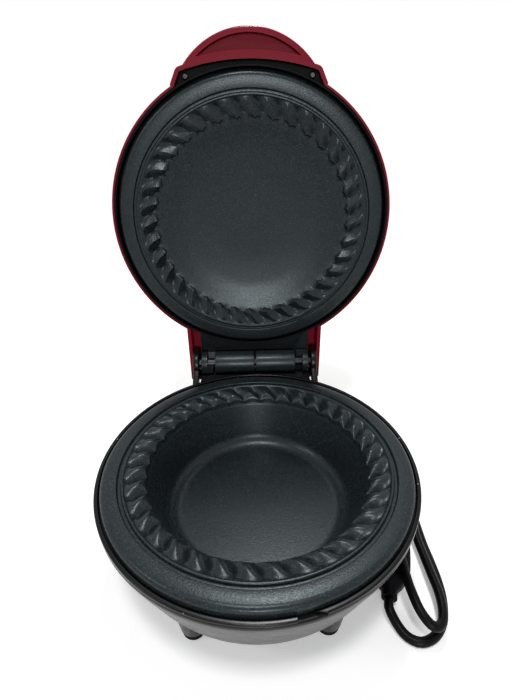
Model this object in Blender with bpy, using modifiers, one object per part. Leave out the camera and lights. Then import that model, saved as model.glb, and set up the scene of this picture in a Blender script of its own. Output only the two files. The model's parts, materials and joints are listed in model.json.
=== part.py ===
"""A mini pie maker: a bowl-shaped base with a deep fluted baking plate, and a domed lid on a rear hinge.

All sizes are in metres. The pieces are modelled in the frame of the closed appliance, whose zero is the
centre of the lower plate at the height of its rim, with +X to the right, +Y to the hinge and +Z up.
"""

import bpy
import bmesh
from math import asin, atan2, cos, hypot, pi, radians, sin, sqrt
from mathutils import Matrix, Vector

# Clearances and cutters
GAP = 0.0003
RUNNING_GAP = 0.0004
OVERRUN = 0.0030
WELD = 0.00001

# Roundness
SHELL_STEPS = 56
LINER_STEPS = 44
HIDDEN_STEPS = 32
SMALL_STEPS = 18
LOBE_STEPS = 28
BOSS_STEPS = 12
SCREW_STEPS = 10
RING_COUNT = 72
UNDER_COUNT = 36
FINE_STEPS = 12

# Heights of the whole
CLOSED_GAP = 0.0004
LID_OPEN = radians(91.6)

# Baking plates
MOUTH_RADIUS = 0.0433
FLUTE_LENGTH = 0.0075
GROOVE_INSET = 0.0021
RIM_WIDTH = 0.0071
CRUST_RADIUS = MOUTH_RADIUS + FLUTE_LENGTH
GROOVE_RADIUS = CRUST_RADIUS + GROOVE_INSET
PLATE_RADIUS = GROOVE_RADIUS + RIM_WIDTH
PLATE_FLANGE = 0.0043
PLATE_WALL = 0.0032
PLATE_EDGE = 0.0013
PLATE_CORNER = 0.0004
GROOVE_WIDTH = 0.0012
GROOVE_DEPTH = 0.0012
GROOVE_SIDE = 0.0002
CRUST_BEAD = 0.0004
FLUTES = 36
FLUTE_SAMPLES = 4
FLUTE_TWIST = pi

# Lower plate
MOUTH_DROP = 0.0025
MOUTH_WAVE = 0.0007
LOWER_FLUTE = 0.0011
BOWL_DEPTH = 0.0240
BOWL_TAPER = 0.0087
BOWL_FLOOR_RADIUS = MOUTH_RADIUS - BOWL_TAPER
NECK_MARGIN = 0.0037
BOWL_NECK_RADIUS = MOUTH_RADIUS + NECK_MARGIN
LOWER_ROWS = [(0.0, 0.75), (0.5, 1.0), (1.0, 0.2)]
BOWL_SHARES = [(0.0, 1.0), (0.195, 0.95), (0.345, 0.855), (0.985, 0.163)]

# Upper plate
CREST_STEP = 0.0006
CREST_RADIUS = MOUTH_RADIUS + CREST_STEP
CREST_DROP = 0.0004
CREST_WAVE = 0.0007
UPPER_FLUTE = 0.0005
RECESS_EDGE_DROP = 0.0024
RECESS_DEPTH = 0.0070
RECESS_NECK_RADIUS = BOWL_NECK_RADIUS
UPPER_ROWS = [(0.0, 1.0), (0.5, 1.0), (1.0, 0.3)]
RECESS_SHARES = [(0.45, 0.95), (0.82, 0.72), (0.985, 0.343)]

# Tongues, knuckles and pin
KNUCKLE_START = 0.0005
KNUCKLE_END = 0.0210
COLLAR_SPACE = 0.0010
COLLAR_BITE = 0.0030
COLLAR_START = KNUCKLE_END + COLLAR_SPACE
COLLAR_RING = COLLAR_START + COLLAR_BITE
COLLAR_END = COLLAR_RING + COLLAR_BITE
TONGUE_MARGIN = 0.0005
TONGUE_HALF_WIDTH = COLLAR_END + TONGUE_MARGIN
TONGUE_THICKNESS = 0.0026
HINGE_REACH = 0.0128
HINGE_Y = PLATE_RADIUS + HINGE_REACH
TONGUE_SEAT = 0.0095
TONGUE_FRONT = PLATE_RADIUS - TONGUE_SEAT
TONGUE_TAIL = 0.0003
TONGUE_REAR = HINGE_Y + TONGUE_TAIL
TONGUE_RISE = 0.0013
TONGUE_INSET = 0.0006
TONGUE_RISE_RADIUS = PLATE_RADIUS - TONGUE_INSET
HINGE_Z = 0.0005
KNUCKLE_RADIUS = 0.0060
KNUCKLE_BORE = 0.0028
SCOOP_OVERLAP = 0.0002
LUG_RADIUS = 0.0057
LUG_START_ANGLE = radians(95.6)
LUG_SWEEP = radians(56)
PIN_RADIUS = 0.0025
PIN_HEAD_RADIUS = 0.0038
PIN_HEAD_THICKNESS = 0.0009
RETAINER_THICKNESS = 0.0008

# Heating elements and reflectors
HEATER_MARGIN = 0.0030
HEATER_RADIUS = BOWL_NECK_RADIUS + HEATER_MARGIN
HEATER_TUBE = 0.0025
HEATER_OPENING = radians(84)
HEATER_POINTS = 20
TERMINAL_LENGTH = 0.0100
REFLECTOR_THICKNESS = 0.0006
REFLECTOR_MARGIN = 0.0035
REFLECTOR_RIM_RADIUS = HEATER_RADIUS + REFLECTOR_MARGIN
REFLECTOR_RIM_DEPTH = 0.0120
REFLECTOR_FLAT_MARGIN = 0.0054
REFLECTOR_FLAT_RADIUS = BOWL_FLOOR_RADIUS + REFLECTOR_FLAT_MARGIN
REFLECTOR_HOLE = 0.0162
TERMINAL_HOLE = 0.0036
UPPER_REFLECTOR_RADIUS = RECESS_NECK_RADIUS

# Screws that hold the plates
SCREW_CIRCLE = 0.0280
SCREW_ANGLES = [radians(90), radians(210), radians(330)]
PLATE_BOSS_RADIUS = 0.0042
LOWER_BOSS_LENGTH = 0.0025
UPPER_BOSS_TOP = 0.0150
SHANK_RADIUS = 0.0014
SHANK_GAP = 0.0003
BASE_HEAD_RADIUS = 0.0030
BASE_HEAD_HEIGHT = 0.0016
PLATE_SKIN = 0.0016
LID_HEAD_RADIUS = 0.0028
LID_HEAD_HEIGHT = 0.0015
LID_SHANK_END = 0.0100

# Base housing
RING_CLEARANCE = 0.0005
RING_WIDTH = 0.0016
RIM_STEP = 0.0001
RING_INNER_RADIUS = PLATE_RADIUS + RING_CLEARANCE
RING_OUTER_RADIUS = RING_INNER_RADIUS + RING_WIDTH
RIM_RADIUS = RING_OUTER_RADIUS - RIM_STEP
BASE_WALL = 0.0022
BASE_SPACE = 0.0166
BASE_BOTTOM = BOWL_DEPTH + BASE_SPACE
FOOT_LIFT = 0.0064
PLATE_HEIGHT = BASE_BOTTOM + FOOT_LIFT
SEAT_LEDGE = 0.0025
SEAT_RADIUS = PLATE_RADIUS - SEAT_LEDGE
SEAT_THICKNESS = 0.0022
BASE_SHARES = [
    (1.0, 0.961),
    (0.982, 0.861),
    (0.927, 0.594),
    (0.871, 0.328),
    (0.834, 0.2),
    (0.798, 0.111),
    (0.75, 0.044),
    (0.629, 0.0),
]
RING_FRONT_TOP = 0.0033
RING_REAR_TOP = 0.0
RING_NOTCH_START = 0.0100
RING_NOTCH_END = 0.0190
RING_NOTCH_DEPTH = 0.0005
WINDOW_GAP = 0.0007
WINDOW_DROP = 0.0004
WINDOW_MARGIN = 0.0005
WINDOW_FRONT = TONGUE_FRONT - WINDOW_MARGIN
EAR_CLEARANCE = 0.0013
EAR_THICKNESS = 0.0029
EAR_INNER = COLLAR_END + EAR_CLEARANCE
EAR_OUTER = EAR_INNER + EAR_THICKNESS
PIN_HALF_LENGTH = EAR_OUTER - GAP
EAR_RADIUS = 0.0074
EAR_ROOT = 0.0112
EAR_FRONT = RIM_RADIUS - EAR_ROOT
EAR_DEPTH = 0.0120
EAR_BEND = 0.0055
EAR_KNEE = RIM_RADIUS - EAR_BEND
COUNTERBORE_RADIUS = 0.0042
COUNTERBORE_DEPTH = 0.0015
POST_RADIUS = 0.0048
POST_HEAD_GAP = 0.0006
POST_LEDGE = 0.0056

# Feet
FOOT_SHARES = (0.397, 0.623)
FOOT_X, FOOT_Y = (RIM_RADIUS * share for share in FOOT_SHARES)
FOOT_TOP_RADIUS = 0.0062
FOOT_BOTTOM_RADIUS = 0.0049
FOOT_LENGTH = 0.0084
FOOT_ROOT = BASE_BOTTOM - FOOT_LENGTH
PAD_RADIUS = 0.0044
PAD_HEIGHT = 0.0033
PAD_EDGE = 0.0009

# Thermostat and thermal fuse
THERMOSTAT_RADIUS = 0.0080
THERMOSTAT_HEIGHT = 0.0045
BRACKET_LENGTH = 0.0300
BRACKET_WIDTH = 0.0090
BRACKET_THICKNESS = 0.0009
TAB_X = 0.0045
TAB_WIDTH = 0.0020
TAB_DEPTH = 0.0040
TAB_HEIGHT = 0.0025
BRACKET_SCREW_X = 0.0120
BRACKET_HEAD_RADIUS = 0.0024
BRACKET_HEAD_HEIGHT = 0.0013
BRACKET_SHANK_RADIUS = 0.0011
BRACKET_SHANK_LENGTH = 0.0028
FUSE_RADIUS = 0.0019
FUSE_HALF_LENGTH = 0.0080
FUSE_Y = 0.0115
WIRE_RADIUS = 0.0011

# Lid shell
LID_BOTTOM = 0.0008
LINER_MARGIN = 0.0010
LINER_EDGE = 0.0008
LID_RIM = 0.0009
LINER_EDGE_INNER = PLATE_RADIUS + LINER_MARGIN
LINER_EDGE_OUTER = LINER_EDGE_INNER + LINER_EDGE
REBATE_RADIUS = LINER_EDGE_OUTER + GAP
LID_RADIUS = REBATE_RADIUS + LID_RIM
LID_HEIGHT = 0.0280
LID_WALL = 0.0019
WALL_STEP = 0.0010
LID_SHARES = [
    (0.0, 1.0),
    (0.317, 0.978),
    (0.571, 0.912),
    (0.762, 0.798),
    (0.889, 0.651),
    (0.96, 0.485),
    (0.994, 0.301),
    (1.003, 0.154),
    (1.0, 0.0),
]
BROW_PROUD = 0.0022
BROW_CREST = LID_RADIUS + BROW_PROUD
BROW_ARC_RADIUS = 0.0990
BROW_HALF_WIDTH = 0.0315
BROW_CORNER = 0.0032
BROW_OVERLAP = 0.0180
BROW_ROOT = LID_RADIUS - BROW_OVERLAP
BROW_TOP = 0.0100
BROW_WALL = 0.0016
BROW_CEILING = 0.0020
HANDLE_INSET = 0.0248
HANDLE_CENTRE = BROW_CREST - HANDLE_INSET
HANDLE_ARC_RADIUS = 0.0350
HANDLE_BOTTOM = 0.0088
HANDLE_TOP = 0.0140
HANDLE_WALL = 0.0013
HANDLE_PANEL = 0.0020
HOOD_MARGIN = 0.0023
HOOD_HALF_WIDTH = EAR_OUTER + HOOD_MARGIN
HOOD_WALL = 0.0018
HOOD_RADIUS = 0.0105
HOOD_ROOT = LID_RADIUS - BROW_OVERLAP

# Lid liner
LINER_WALL = 0.0016
LINER_SEAT_RADIUS = PLATE_RADIUS - SEAT_LEDGE
LINER_FLOOR = 0.0162
LINER_FLOOR_WALL = 0.0020
LINER_FLOOR_MARGIN = 0.0015
LINER_FLOOR_RADIUS = RECESS_NECK_RADIUS + LINER_FLOOR_MARGIN
LINER_TAPER = 0.0017
LINER_SHOULDER_RADIUS = LINER_SEAT_RADIUS - LINER_TAPER
LINER_SHOULDER = 0.0115
LINER_CRESCENT_RADIUS = LINER_EDGE_INNER + GAP
CRESCENT_DROP = 0.0005
LINER_SCREW_INSET_X = 0.0057
LINER_SCREW_X = BROW_HALF_WIDTH - LINER_SCREW_INSET_X
LINER_SCREW_INSET_Y = 0.0072
LINER_SCREW_Y = BROW_CREST - LINER_SCREW_INSET_Y
LINER_SCREW_BOSS = 0.0021
LINER_HEAD_RADIUS = 0.0014
LINER_HEAD_HEIGHT = 0.0009
LINER_SHANK_RADIUS = 0.0009
LINER_SHANK_END = 0.0085

# Indicator
LENS_Y = 0.0300
LENS_RADIUS = 0.0030
LENS_FLANGE = 0.0038
LENS_PROUD = 0.0008
LENS_LENGTH = 0.0040
LAMP_RADIUS = 0.0020
LAMP_HEIGHT = 0.0022

# Strain relief, cord and plug
RELIEF_LIFT = 0.0091
RELIEF_DROP = BASE_BOTTOM - RELIEF_LIFT
RELIEF_BOSS_RADIUS = 0.0066
RELIEF_BOSS_INSET = 0.0145
RELIEF_BOSS_LENGTH = 0.0090
RELIEF_BOSS_START = RIM_RADIUS - RELIEF_BOSS_INSET
RELIEF_BOSS_END = RELIEF_BOSS_START + RELIEF_BOSS_LENGTH
RELIEF_NECK_RADIUS = 0.0034
RELIEF_FLANGE_RADIUS = 0.0054
RELIEF_FLANGE = 0.0016
RELIEF_LENGTH = 0.0240
RELIEF_ROOT_RADIUS = 0.0044
RELIEF_TIP_RADIUS = 0.0029
CORD_RADIUS = 0.0018
CORD_LOW = PLATE_HEIGHT - CORD_RADIUS - 0.00005
PLUG_X = 0.0499
PLUG_Y = -0.0286
PLUG_TURN = radians(16)
PLUG_LENGTH = 0.0280
PLUG_SHOULDER = 0.0070
PLUG_THICKNESS = 0.0094
PLUG_FRONT_HALF = 0.0050
PLUG_REAR_HALF = 0.0080
PLUG_BEVEL = 0.0022
PLUG_NECK_RADIUS = 0.0032
PLUG_NECK_LENGTH = 0.0040
BLADE_SPREAD = 0.00635
BLADE_THICKNESS = 0.0015
BLADE_HEIGHT = 0.0063
BLADE_LENGTH = 0.0160

# The cord's free stretch, from the strain relief to the loops beside the base
LEAD_ROUTE = [
    (0.0, 0.0862, -0.0319),
    (-0.0028, 0.0930, -0.0345),
    (-0.0095, 0.0995, -0.0390),
    (-0.0190, 0.1030, -0.0430),
    (-0.0295, 0.1025, -CORD_LOW),
    (-0.0395, 0.0980, -CORD_LOW),
    (-0.0465, 0.0895, -CORD_LOW),
    (-0.0475, 0.0790, -CORD_LOW),
    (-0.0425, 0.0700, -CORD_LOW),
    (-0.0330, 0.0655, -CORD_LOW),
    (-0.0200, 0.0655, -CORD_LOW),
    (-0.0050, 0.0680, -CORD_LOW),
    (0.0110, 0.0715, -CORD_LOW),
    (0.0260, 0.0740, -CORD_LOW),
    (0.0390, 0.0735, -CORD_LOW),
    (0.0490, 0.0690, -CORD_LOW),
    (0.0545, 0.0620, -CORD_LOW),
    (0.0563, 0.0550, -CORD_LOW),
]
HANK_START = (0.0565, 0.0480, -CORD_LOW)

# The loops: over the plug, a fold at the front, a turn at the rear, and the outer loop round to the plug
HANK_ROUTE = [
    (0.0569, 0.0390, -0.0445),
    (0.0574, 0.0270, -0.0408),
    (0.0579, 0.0150, -0.0366),
    (0.0577, 0.0050, -0.0351),
    (0.0571, -0.0060, -0.0350),
    (0.0563, -0.0170, -0.0350),
    (0.0556, -0.0265, -0.0350),
    (0.0557, -0.0344, -0.0352),
    (0.0573, -0.0410, -0.0369),
    (0.0606, -0.0449, -0.0389),
    (0.0643, -0.0436, -0.0403),
    (0.0668, -0.0386, -0.0408),
    (0.0679, -0.0318, -0.0410),
    (0.0680, -0.0245, -0.0415),
    (0.0680, -0.0150, -0.0421),
    (0.0680, -0.0050, -0.0420),
    (0.0696, 0.0050, -0.0413),
    (0.0712, 0.0150, -0.0408),
    (0.0711, 0.0240, -0.0409),
    (0.0686, 0.0320, -0.0417),
    (0.0645, 0.0385, -0.0432),
    (0.0621, 0.0450, -0.0446),
    (0.0638, 0.0514, -CORD_LOW),
    (0.0689, 0.0528, -CORD_LOW),
    (0.0722, 0.0475, -CORD_LOW),
    (0.0726, 0.0380, -CORD_LOW),
    (0.0724, 0.0250, -CORD_LOW),
    (0.0720, 0.0130, -CORD_LOW),
    (0.0713, 0.0020, -CORD_LOW),
    (0.0709, -0.0080, -CORD_LOW),
    (0.0711, -0.0160, -CORD_LOW),
    (0.0710, -0.0245, -CORD_LOW),
    (0.0700, -0.0318, -CORD_LOW),
    (0.0677, -0.0386, -CORD_LOW),
    (0.0643, -0.0435, -CORD_LOW),
    (0.0600, -0.0463, -CORD_LOW),
    (0.0558, -0.0468, -CORD_LOW),
    (0.0521, -0.0446, -CORD_LOW),
    (0.0496, -0.0408, -0.0442),
]

# Internal wires: shares of the rim's radius, across and back, and of the base's depth, down
NEUTRAL_SHARES = [
    (0.129, 0.661, 0.813),
    (0.323, 0.653, 0.734),
    (0.484, 0.605, 0.635),
]
LINE_SHARES = [
    (-0.081, 0.645, 0.85),
    (-0.177, 0.484, 0.909),
    (-0.226, 0.258, 0.909),
    (-0.226, 0.032, 0.887),
    (-0.21, -0.129, 0.8),
]
LINK_SHARES = [
    (0.171, -0.158, 0.759),
    (0.181, -0.089, 0.823),
    (0.148, -0.019, 0.85),
]
FEED_SHARES = [
    (-0.161, 0.048, 0.837),
    (-0.258, 0.226, 0.837),
    (-0.387, 0.435, 0.8),
    (-0.5, 0.589, 0.714),
]

# Heights and places that follow from the sizes above
PLATE_UNDER = -PLATE_FLANGE
TONGUE_TOP = PLATE_UNDER - GAP
TONGUE_BOTTOM = TONGUE_TOP - TONGUE_THICKNESS
BOWL_UNDER = -BOWL_DEPTH - PLATE_WALL
LOWER_BOSS_END = BOWL_UNDER - LOWER_BOSS_LENGTH
REFLECTOR_TOP = LOWER_BOSS_END - GAP
REFLECTOR_UNDER = REFLECTOR_TOP - REFLECTOR_THICKNESS
POST_TOP = REFLECTOR_UNDER - GAP
BASE_TOP = PLATE_UNDER - GAP
BASE_FLOOR = -BASE_BOTTOM + BASE_WALL
PAD_TOP = -PLATE_HEIGHT + PAD_HEIGHT
UPPER_FACE = CLOSED_GAP
LINER_SEAT = UPPER_FACE + PLATE_FLANGE + GAP
LINER_SEAT_TOP = LINER_SEAT + LINER_WALL
CRESCENT_UNDER = LINER_SEAT - CRESCENT_DROP
CRESCENT_TOP = LINER_SEAT_TOP - CRESCENT_DROP
TONGUE_SPACE = UPPER_FACE + PLATE_FLANGE + GAP + TONGUE_THICKNESS
HOOD_VOID = HOOD_RADIUS - HOOD_WALL
RELIEF_START = RELIEF_BOSS_END + GAP
RELIEF_END = RELIEF_START + RELIEF_LENGTH
RELIEF_INNER = RELIEF_BOSS_START - GAP
OPEN_REACH = HINGE_Y + (LID_HEIGHT + LENS_PROUD - HINGE_Z) * sin(LID_OPEN) + HINGE_Y * abs(cos(LID_OPEN))
BASE_Y = -(OPEN_REACH - RING_OUTER_RADIUS) / 2
AXES_YZ = Matrix(((0, 0, 1, 0), (1, 0, 0, 0), (0, 1, 0, 0), (0, 0, 0, 1)))


def clear_scene():
    for old in list(bpy.data.objects):
        bpy.data.objects.remove(old, do_unlink=True)


def collection(name):
    group = bpy.data.collections.new(name)
    bpy.context.scene.collection.children.link(group)
    return group


def empty(name, location, parent=None):
    frame = bpy.data.objects.new(name, None)
    frame.location = location
    frame.parent = parent
    PARTS.objects.link(frame)
    return frame


def material(name, colour, roughness, metallic=0.0):
    surface = bpy.data.materials.new(name)
    surface.use_nodes = True
    shader = surface.node_tree.nodes["Principled BSDF"]
    shader.inputs["Base Color"].default_value = (*colour, 1.0)
    shader.inputs["Roughness"].default_value = roughness
    shader.inputs["Metallic"].default_value = metallic
    return surface


def mesh_object(name, bm):
    mesh = bpy.data.meshes.new(name)
    bm.to_mesh(mesh)
    bm.free()
    return bpy.data.objects.new(name, mesh)


def finish(obj, surface, frame, angle=radians(35)):
    """Put a finished piece in its frame with its material."""
    obj.parent = frame
    PARTS.objects.link(obj)
    obj.data.materials.append(surface)
    if obj.type == "MESH":
        obj.data.shade_smooth()
        obj.data.set_sharp_from_angle(angle=angle)
    return obj


def helper(obj, frame):
    """Keep a cutter or a joined shape out of sight, in the frame of the piece it shapes."""
    obj.parent = frame
    obj.hide_render = True
    obj.display_type = "WIRE"
    CUTTERS.objects.link(obj)
    return obj


def shape(obj, frame, operation, *others):
    for other in others:
        change = obj.modifiers.new(operation.lower(), "BOOLEAN")
        change.operation = operation
        change.solver = "EXACT"
        change.object = helper(other, frame)


def join(obj, frame, *others):
    shape(obj, frame, "UNION", *others)


def cut(obj, frame, *others):
    shape(obj, frame, "DIFFERENCE", *others)


def turned(name, profile, closed=False, steps=SHELL_STEPS):
    """Turn a profile of (radius, height), which runs down its outer side, about Z."""
    bm = bmesh.new()
    corners = [bm.verts.new((radius, 0, height)) for radius, height in profile]
    for first, second in zip(corners, corners[1:]):
        bm.edges.new((first, second))
    if closed:
        bm.edges.new((corners[-1], corners[0]))
    obj = mesh_object(name, bm)
    screw = obj.modifiers.new("turn", "SCREW")
    screw.steps = steps
    screw.render_steps = steps
    screw.use_merge_vertices = True
    screw.merge_threshold = WELD
    return obj


def cylinder(name, radius, start, end, steps=SMALL_STEPS, tip_radius=None):
    """A cylinder or cone between two points."""
    first = Vector(start)
    axis = Vector(end) - first
    bm = bmesh.new()
    place = Matrix.Translation(first + axis / 2) @ axis.to_track_quat("Z", "Y").to_matrix().to_4x4()
    bmesh.ops.create_cone(
        bm,
        cap_ends=True,
        segments=steps,
        radius1=radius,
        radius2=radius if tip_radius is None else tip_radius,
        depth=axis.length,
        matrix=place,
    )
    return mesh_object(name, bm)


def block(name, low, high):
    bm = bmesh.new()
    size = [b - a for a, b in zip(low, high)]
    middle = [(a + b) / 2 for a, b in zip(low, high)]
    bmesh.ops.create_cube(bm, size=1.0, matrix=Matrix.Translation(middle) @ Matrix.Diagonal((*size, 1.0)))
    return mesh_object(name, bm)


def slab(name, outline, low, high, along_x=False):
    """A flat outline given thickness: (x, y) points between two heights, or (y, z) points between two x."""
    curve = bpy.data.curves.new(name, "CURVE")
    curve.dimensions = "2D"
    curve.fill_mode = "BOTH"
    curve.extrude = (high - low) / 2
    spline = curve.splines.new("POLY")
    spline.points.add(len(outline) - 1)
    for point, (u, v) in zip(spline.points, outline):
        point.co = (u, v, 0, 1)
    spline.use_cyclic_u = True
    middle = Matrix.Translation((0, 0, (low + high) / 2))
    return solid_from_curve(name, curve, (AXES_YZ @ middle) if along_x else middle)


def solid_from_curve(name, curve, matrix):
    """A closed mesh of a curve object, with its caps welded."""
    source = bpy.data.objects.new(name, curve)
    bpy.context.scene.collection.objects.link(source)
    evaluated = source.evaluated_get(bpy.context.evaluated_depsgraph_get())
    mesh = bpy.data.meshes.new_from_object(evaluated)
    bpy.data.objects.remove(source, do_unlink=True)
    bm = bmesh.new()
    bm.from_mesh(mesh)
    bpy.data.meshes.remove(mesh)
    bmesh.ops.remove_doubles(bm, verts=bm.verts, dist=WELD)
    bmesh.ops.transform(bm, matrix=matrix, verts=bm.verts)
    bmesh.ops.recalc_face_normals(bm, faces=bm.faces)
    return mesh_object(name, bm)


def tube(name, points, radius, resolution=2):
    """A round tube with filled ends along points."""
    curve = bpy.data.curves.new(name, "CURVE")
    curve.dimensions = "3D"
    curve.bevel_depth = radius
    curve.bevel_resolution = resolution
    curve.use_fill_caps = True
    spline = curve.splines.new("POLY")
    spline.points.add(len(points) - 1)
    for point, place in zip(spline.points, points):
        point.co = (*place, 1)
    return bpy.data.objects.new(name, curve)


def smooth_line(points, spacing):
    """Points at an even spacing along a smooth curve through the given ones."""
    places = [Vector(p) for p in points]
    ends = [2 * places[0] - places[1], *places, 2 * places[-1] - places[-2]]
    fine = []
    for before, start, end, after in zip(ends, ends[1:], ends[2:], ends[3:]):
        for step in range(FINE_STEPS):
            t = step / FINE_STEPS
            pull = (end - before) / 2
            push = (after - start) / 2
            fine.append(
                (2 * t**3 - 3 * t**2 + 1) * start
                + (t**3 - 2 * t**2 + t) * pull
                + (3 * t**2 - 2 * t**3) * end
                + (t**3 - t**2) * push
            )
    fine.append(places[-1])
    lengths = [0.0]
    for first, second in zip(fine, fine[1:]):
        lengths.append(lengths[-1] + (second - first).length)
    count = round(lengths[-1] / spacing)
    line = []
    index = 0
    for step in range(count + 1):
        goal = lengths[-1] * step / count
        while index < len(fine) - 2 and lengths[index + 1] < goal:
            index += 1
        run = lengths[index + 1] - lengths[index]
        line.append(fine[index].lerp(fine[index + 1], (goal - lengths[index]) / run))
    return line




def length_of(points):
    return sum((second - first).length for first, second in zip(points, points[1:]))


def arc(centre, radius, start, end, count):
    return [
        (
            centre[0] + radius * cos(start + (end - start) * step / count),
            centre[1] + radius * sin(start + (end - start) * step / count),
        )
        for step in range(count + 1)
    ]


def offset(profile, distance):
    """The profile moved to its left by a distance, corner by corner."""
    moved = []
    last = len(profile) - 1
    for index, (x, y) in enumerate(profile):
        before = profile[max(index - 1, 0)]
        after = profile[min(index + 1, last)]
        if index in (0, last):
            before, after = (profile[0], profile[1]) if index == 0 else (profile[-2], profile[-1])
            dx, dy = after[0] - before[0], after[1] - before[1]
            run = hypot(dx, dy)
            moved.append((x - dy / run * distance, y + dx / run * distance))
            continue
        first = Vector((x - before[0], y - before[1])).normalized()
        second = Vector((after[0] - x, after[1] - y)).normalized()
        normal = Vector((-first.y - second.y, first.x + second.x)).normalized()
        reach = distance / max(normal.dot(Vector((-first.y, first.x))), 0.5)
        moved.append((x + normal.x * reach, y + normal.y * reach))
    return moved


def ring_of(radius, height, count, wave=None):
    """One ring of a lofted plate; wave gives the radius and height to add at each angle."""
    corners = []
    for step in range(count):
        angle = 2 * pi * step / count
        more_radius, more_height = wave(angle) if wave else (0.0, 0.0)
        reach = radius + more_radius
        corners.append(Vector((reach * cos(angle), reach * sin(angle), height + more_height)))
    return corners


def loft(name, rings, start=None, end=None):
    """Skin over rings in order, closed by a point at each end or, without them, into a tube."""
    bm = bmesh.new()
    rows = [[bm.verts.new(corner) for corner in ring] for ring in rings]
    pairs = list(zip(rows, rows[1:]))
    if start is None:
        pairs.append((rows[-1], rows[0]))
    for first, second in pairs:
        bridge(bm, first, second)
    for tip, row in ((start, rows[0]), (end, rows[-1])):
        if tip is not None:
            point = bm.verts.new(tip)
            for here, after in zip(row, row[1:] + row[:1]):
                bm.faces.new((point, here, after))
    bmesh.ops.recalc_face_normals(bm, faces=bm.faces)
    return mesh_object(name, bm)


def bridge(bm, first, second):
    """Join two rings of equal corners, or of which one has twice as many."""
    if len(first) == len(second):
        for index, corner in enumerate(first):
            following = (index + 1) % len(first)
            bm.faces.new((corner, first[following], second[following], second[index]))
        return
    coarse, fine = (first, second) if len(first) < len(second) else (second, first)
    for index, corner in enumerate(coarse):
        after = coarse[(index + 1) % len(coarse)]
        left, middle, right = (fine[(2 * index + step) % len(fine)] for step in range(3))
        bm.faces.new((corner, left, middle))
        bm.faces.new((corner, middle, after))
        bm.faces.new((after, middle, right))


def flute_wave(height, reach, share, turn):
    """The twisted flutes at one ring: share runs from 0 at the inner edge to 1 at the crust's outer edge."""

    def wave(angle):
        level = sin(FLUTES * angle - turn * FLUTE_TWIST * share)
        return reach * level, height * level

    return wave


def rim_rings():
    """Rings of a plate's face from the crust bead over the groove and rim to the back of the flange."""
    groove_in = GROOVE_RADIUS - GROOVE_WIDTH / 2
    groove_out = GROOVE_RADIUS + GROOVE_WIDTH / 2
    return [
        (CRUST_RADIUS + CRUST_BEAD, 0.0),
        (groove_in - GROOVE_SIDE, 0.0),
        (groove_in, -GROOVE_DEPTH),
        (groove_out, -GROOVE_DEPTH),
        (groove_out + GROOVE_SIDE, 0.0),
        (PLATE_RADIUS - PLATE_EDGE, 0.0),
        (PLATE_RADIUS, -PLATE_EDGE),
        (PLATE_RADIUS, PLATE_UNDER),
    ]


def plate_solid(name, hollow, flute_rows, neck_radius):
    """A baking plate, face up: its hollow, twisted flutes, bead, groove, rim and an even underside."""
    rings = [ring_of(radius, height, RING_COUNT) for radius, height in hollow[1:]]
    for radius, height, wave in flute_rows:
        rings.append(ring_of(radius, height, FLUTES * FLUTE_SAMPLES, wave))
    rings += [ring_of(radius, height, RING_COUNT) for radius, height in rim_rings()]
    under = [(neck_radius, PLATE_UNDER)]
    under += [corner for corner in reversed(offset(hollow, -PLATE_WALL)[1:])]
    rings += [ring_of(radius, height, UNDER_COUNT) for radius, height in under]
    tip = hollow[0][1]
    return loft(name, rings, start=(0, 0, tip), end=(0, 0, tip - PLATE_WALL))


def knuckle(name, start, end):
    return cylinder(name, KNUCKLE_RADIUS, (start, HINGE_Y, HINGE_Z), (end, HINGE_Y, HINGE_Z))


def pin_hole(name, radius=KNUCKLE_BORE, reach=EAR_OUTER + OVERRUN):
    return cylinder(name, radius, (-reach, HINGE_Y, HINGE_Z), (reach, HINGE_Y, HINGE_Z))


def tongue_outline():
    """The part of the tongue under the plate's flange, bounded by an arc inside the trim ring."""
    half, front = TONGUE_HALF_WIDTH - TONGUE_INSET, TONGUE_FRONT + TONGUE_INSET
    side = asin(half / TONGUE_RISE_RADIUS)
    rear = arc((0, 0), TONGUE_RISE_RADIUS, pi / 2 - side, pi / 2 + side, 9)
    return [(half, front), *rear, (-half, front)]


def add_hinge_side(plate, frame, up):
    """The tongue, knuckle and collar on one plate: the upper plate's are the lower's turned over."""
    if up:
        low, high = LINER_SEAT, TONGUE_SPACE
        rise = (LINER_SEAT - GAP - TONGUE_RISE, low + TONGUE_RISE)
    else:
        low, high = TONGUE_BOTTOM, TONGUE_TOP
        rise = (high - TONGUE_RISE, PLATE_UNDER + TONGUE_RISE)
    side = -1 if up else 1
    own_knuckle = sorted((side * KNUCKLE_START, side * KNUCKLE_END))
    own_collar = sorted((-side * COLLAR_START, -side * COLLAR_END))
    opening = sorted((-side * (COLLAR_START - GAP), -side * COLLAR_RING))
    open_low, open_high = (HINGE_Z - PLATE_RADIUS, HINGE_Z) if up else (HINGE_Z, PLATE_RADIUS)
    other_knuckle = sorted((side * SCOOP_OVERLAP, -side * (KNUCKLE_END + RUNNING_GAP)))
    other_collar = sorted((side * (COLLAR_START - RUNNING_GAP), side * (COLLAR_END + OVERRUN)))
    join(
        plate,
        frame,
        slab("tongue_root", tongue_outline(), *rise),
        block(
            "tongue",
            (-TONGUE_HALF_WIDTH, TONGUE_FRONT, low),
            (TONGUE_HALF_WIDTH, TONGUE_REAR, high),
        ),
    )
    for run in (other_knuckle, other_collar):
        cut(
            plate,
            frame,
            cylinder(
                "scoop",
                KNUCKLE_RADIUS + RUNNING_GAP,
                (run[0], HINGE_Y, HINGE_Z),
                (run[1], HINGE_Y, HINGE_Z),
            ),
        )
    join(plate, frame, knuckle("knuckle", *own_knuckle), knuckle("collar", *own_collar))
    cut(
        plate,
        frame,
        block(
            "collar_opening",
            (opening[0], HINGE_Y - COLLAR_END, open_low),
            (opening[1], HINGE_Y + COLLAR_END, open_high),
        ),
    )


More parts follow.
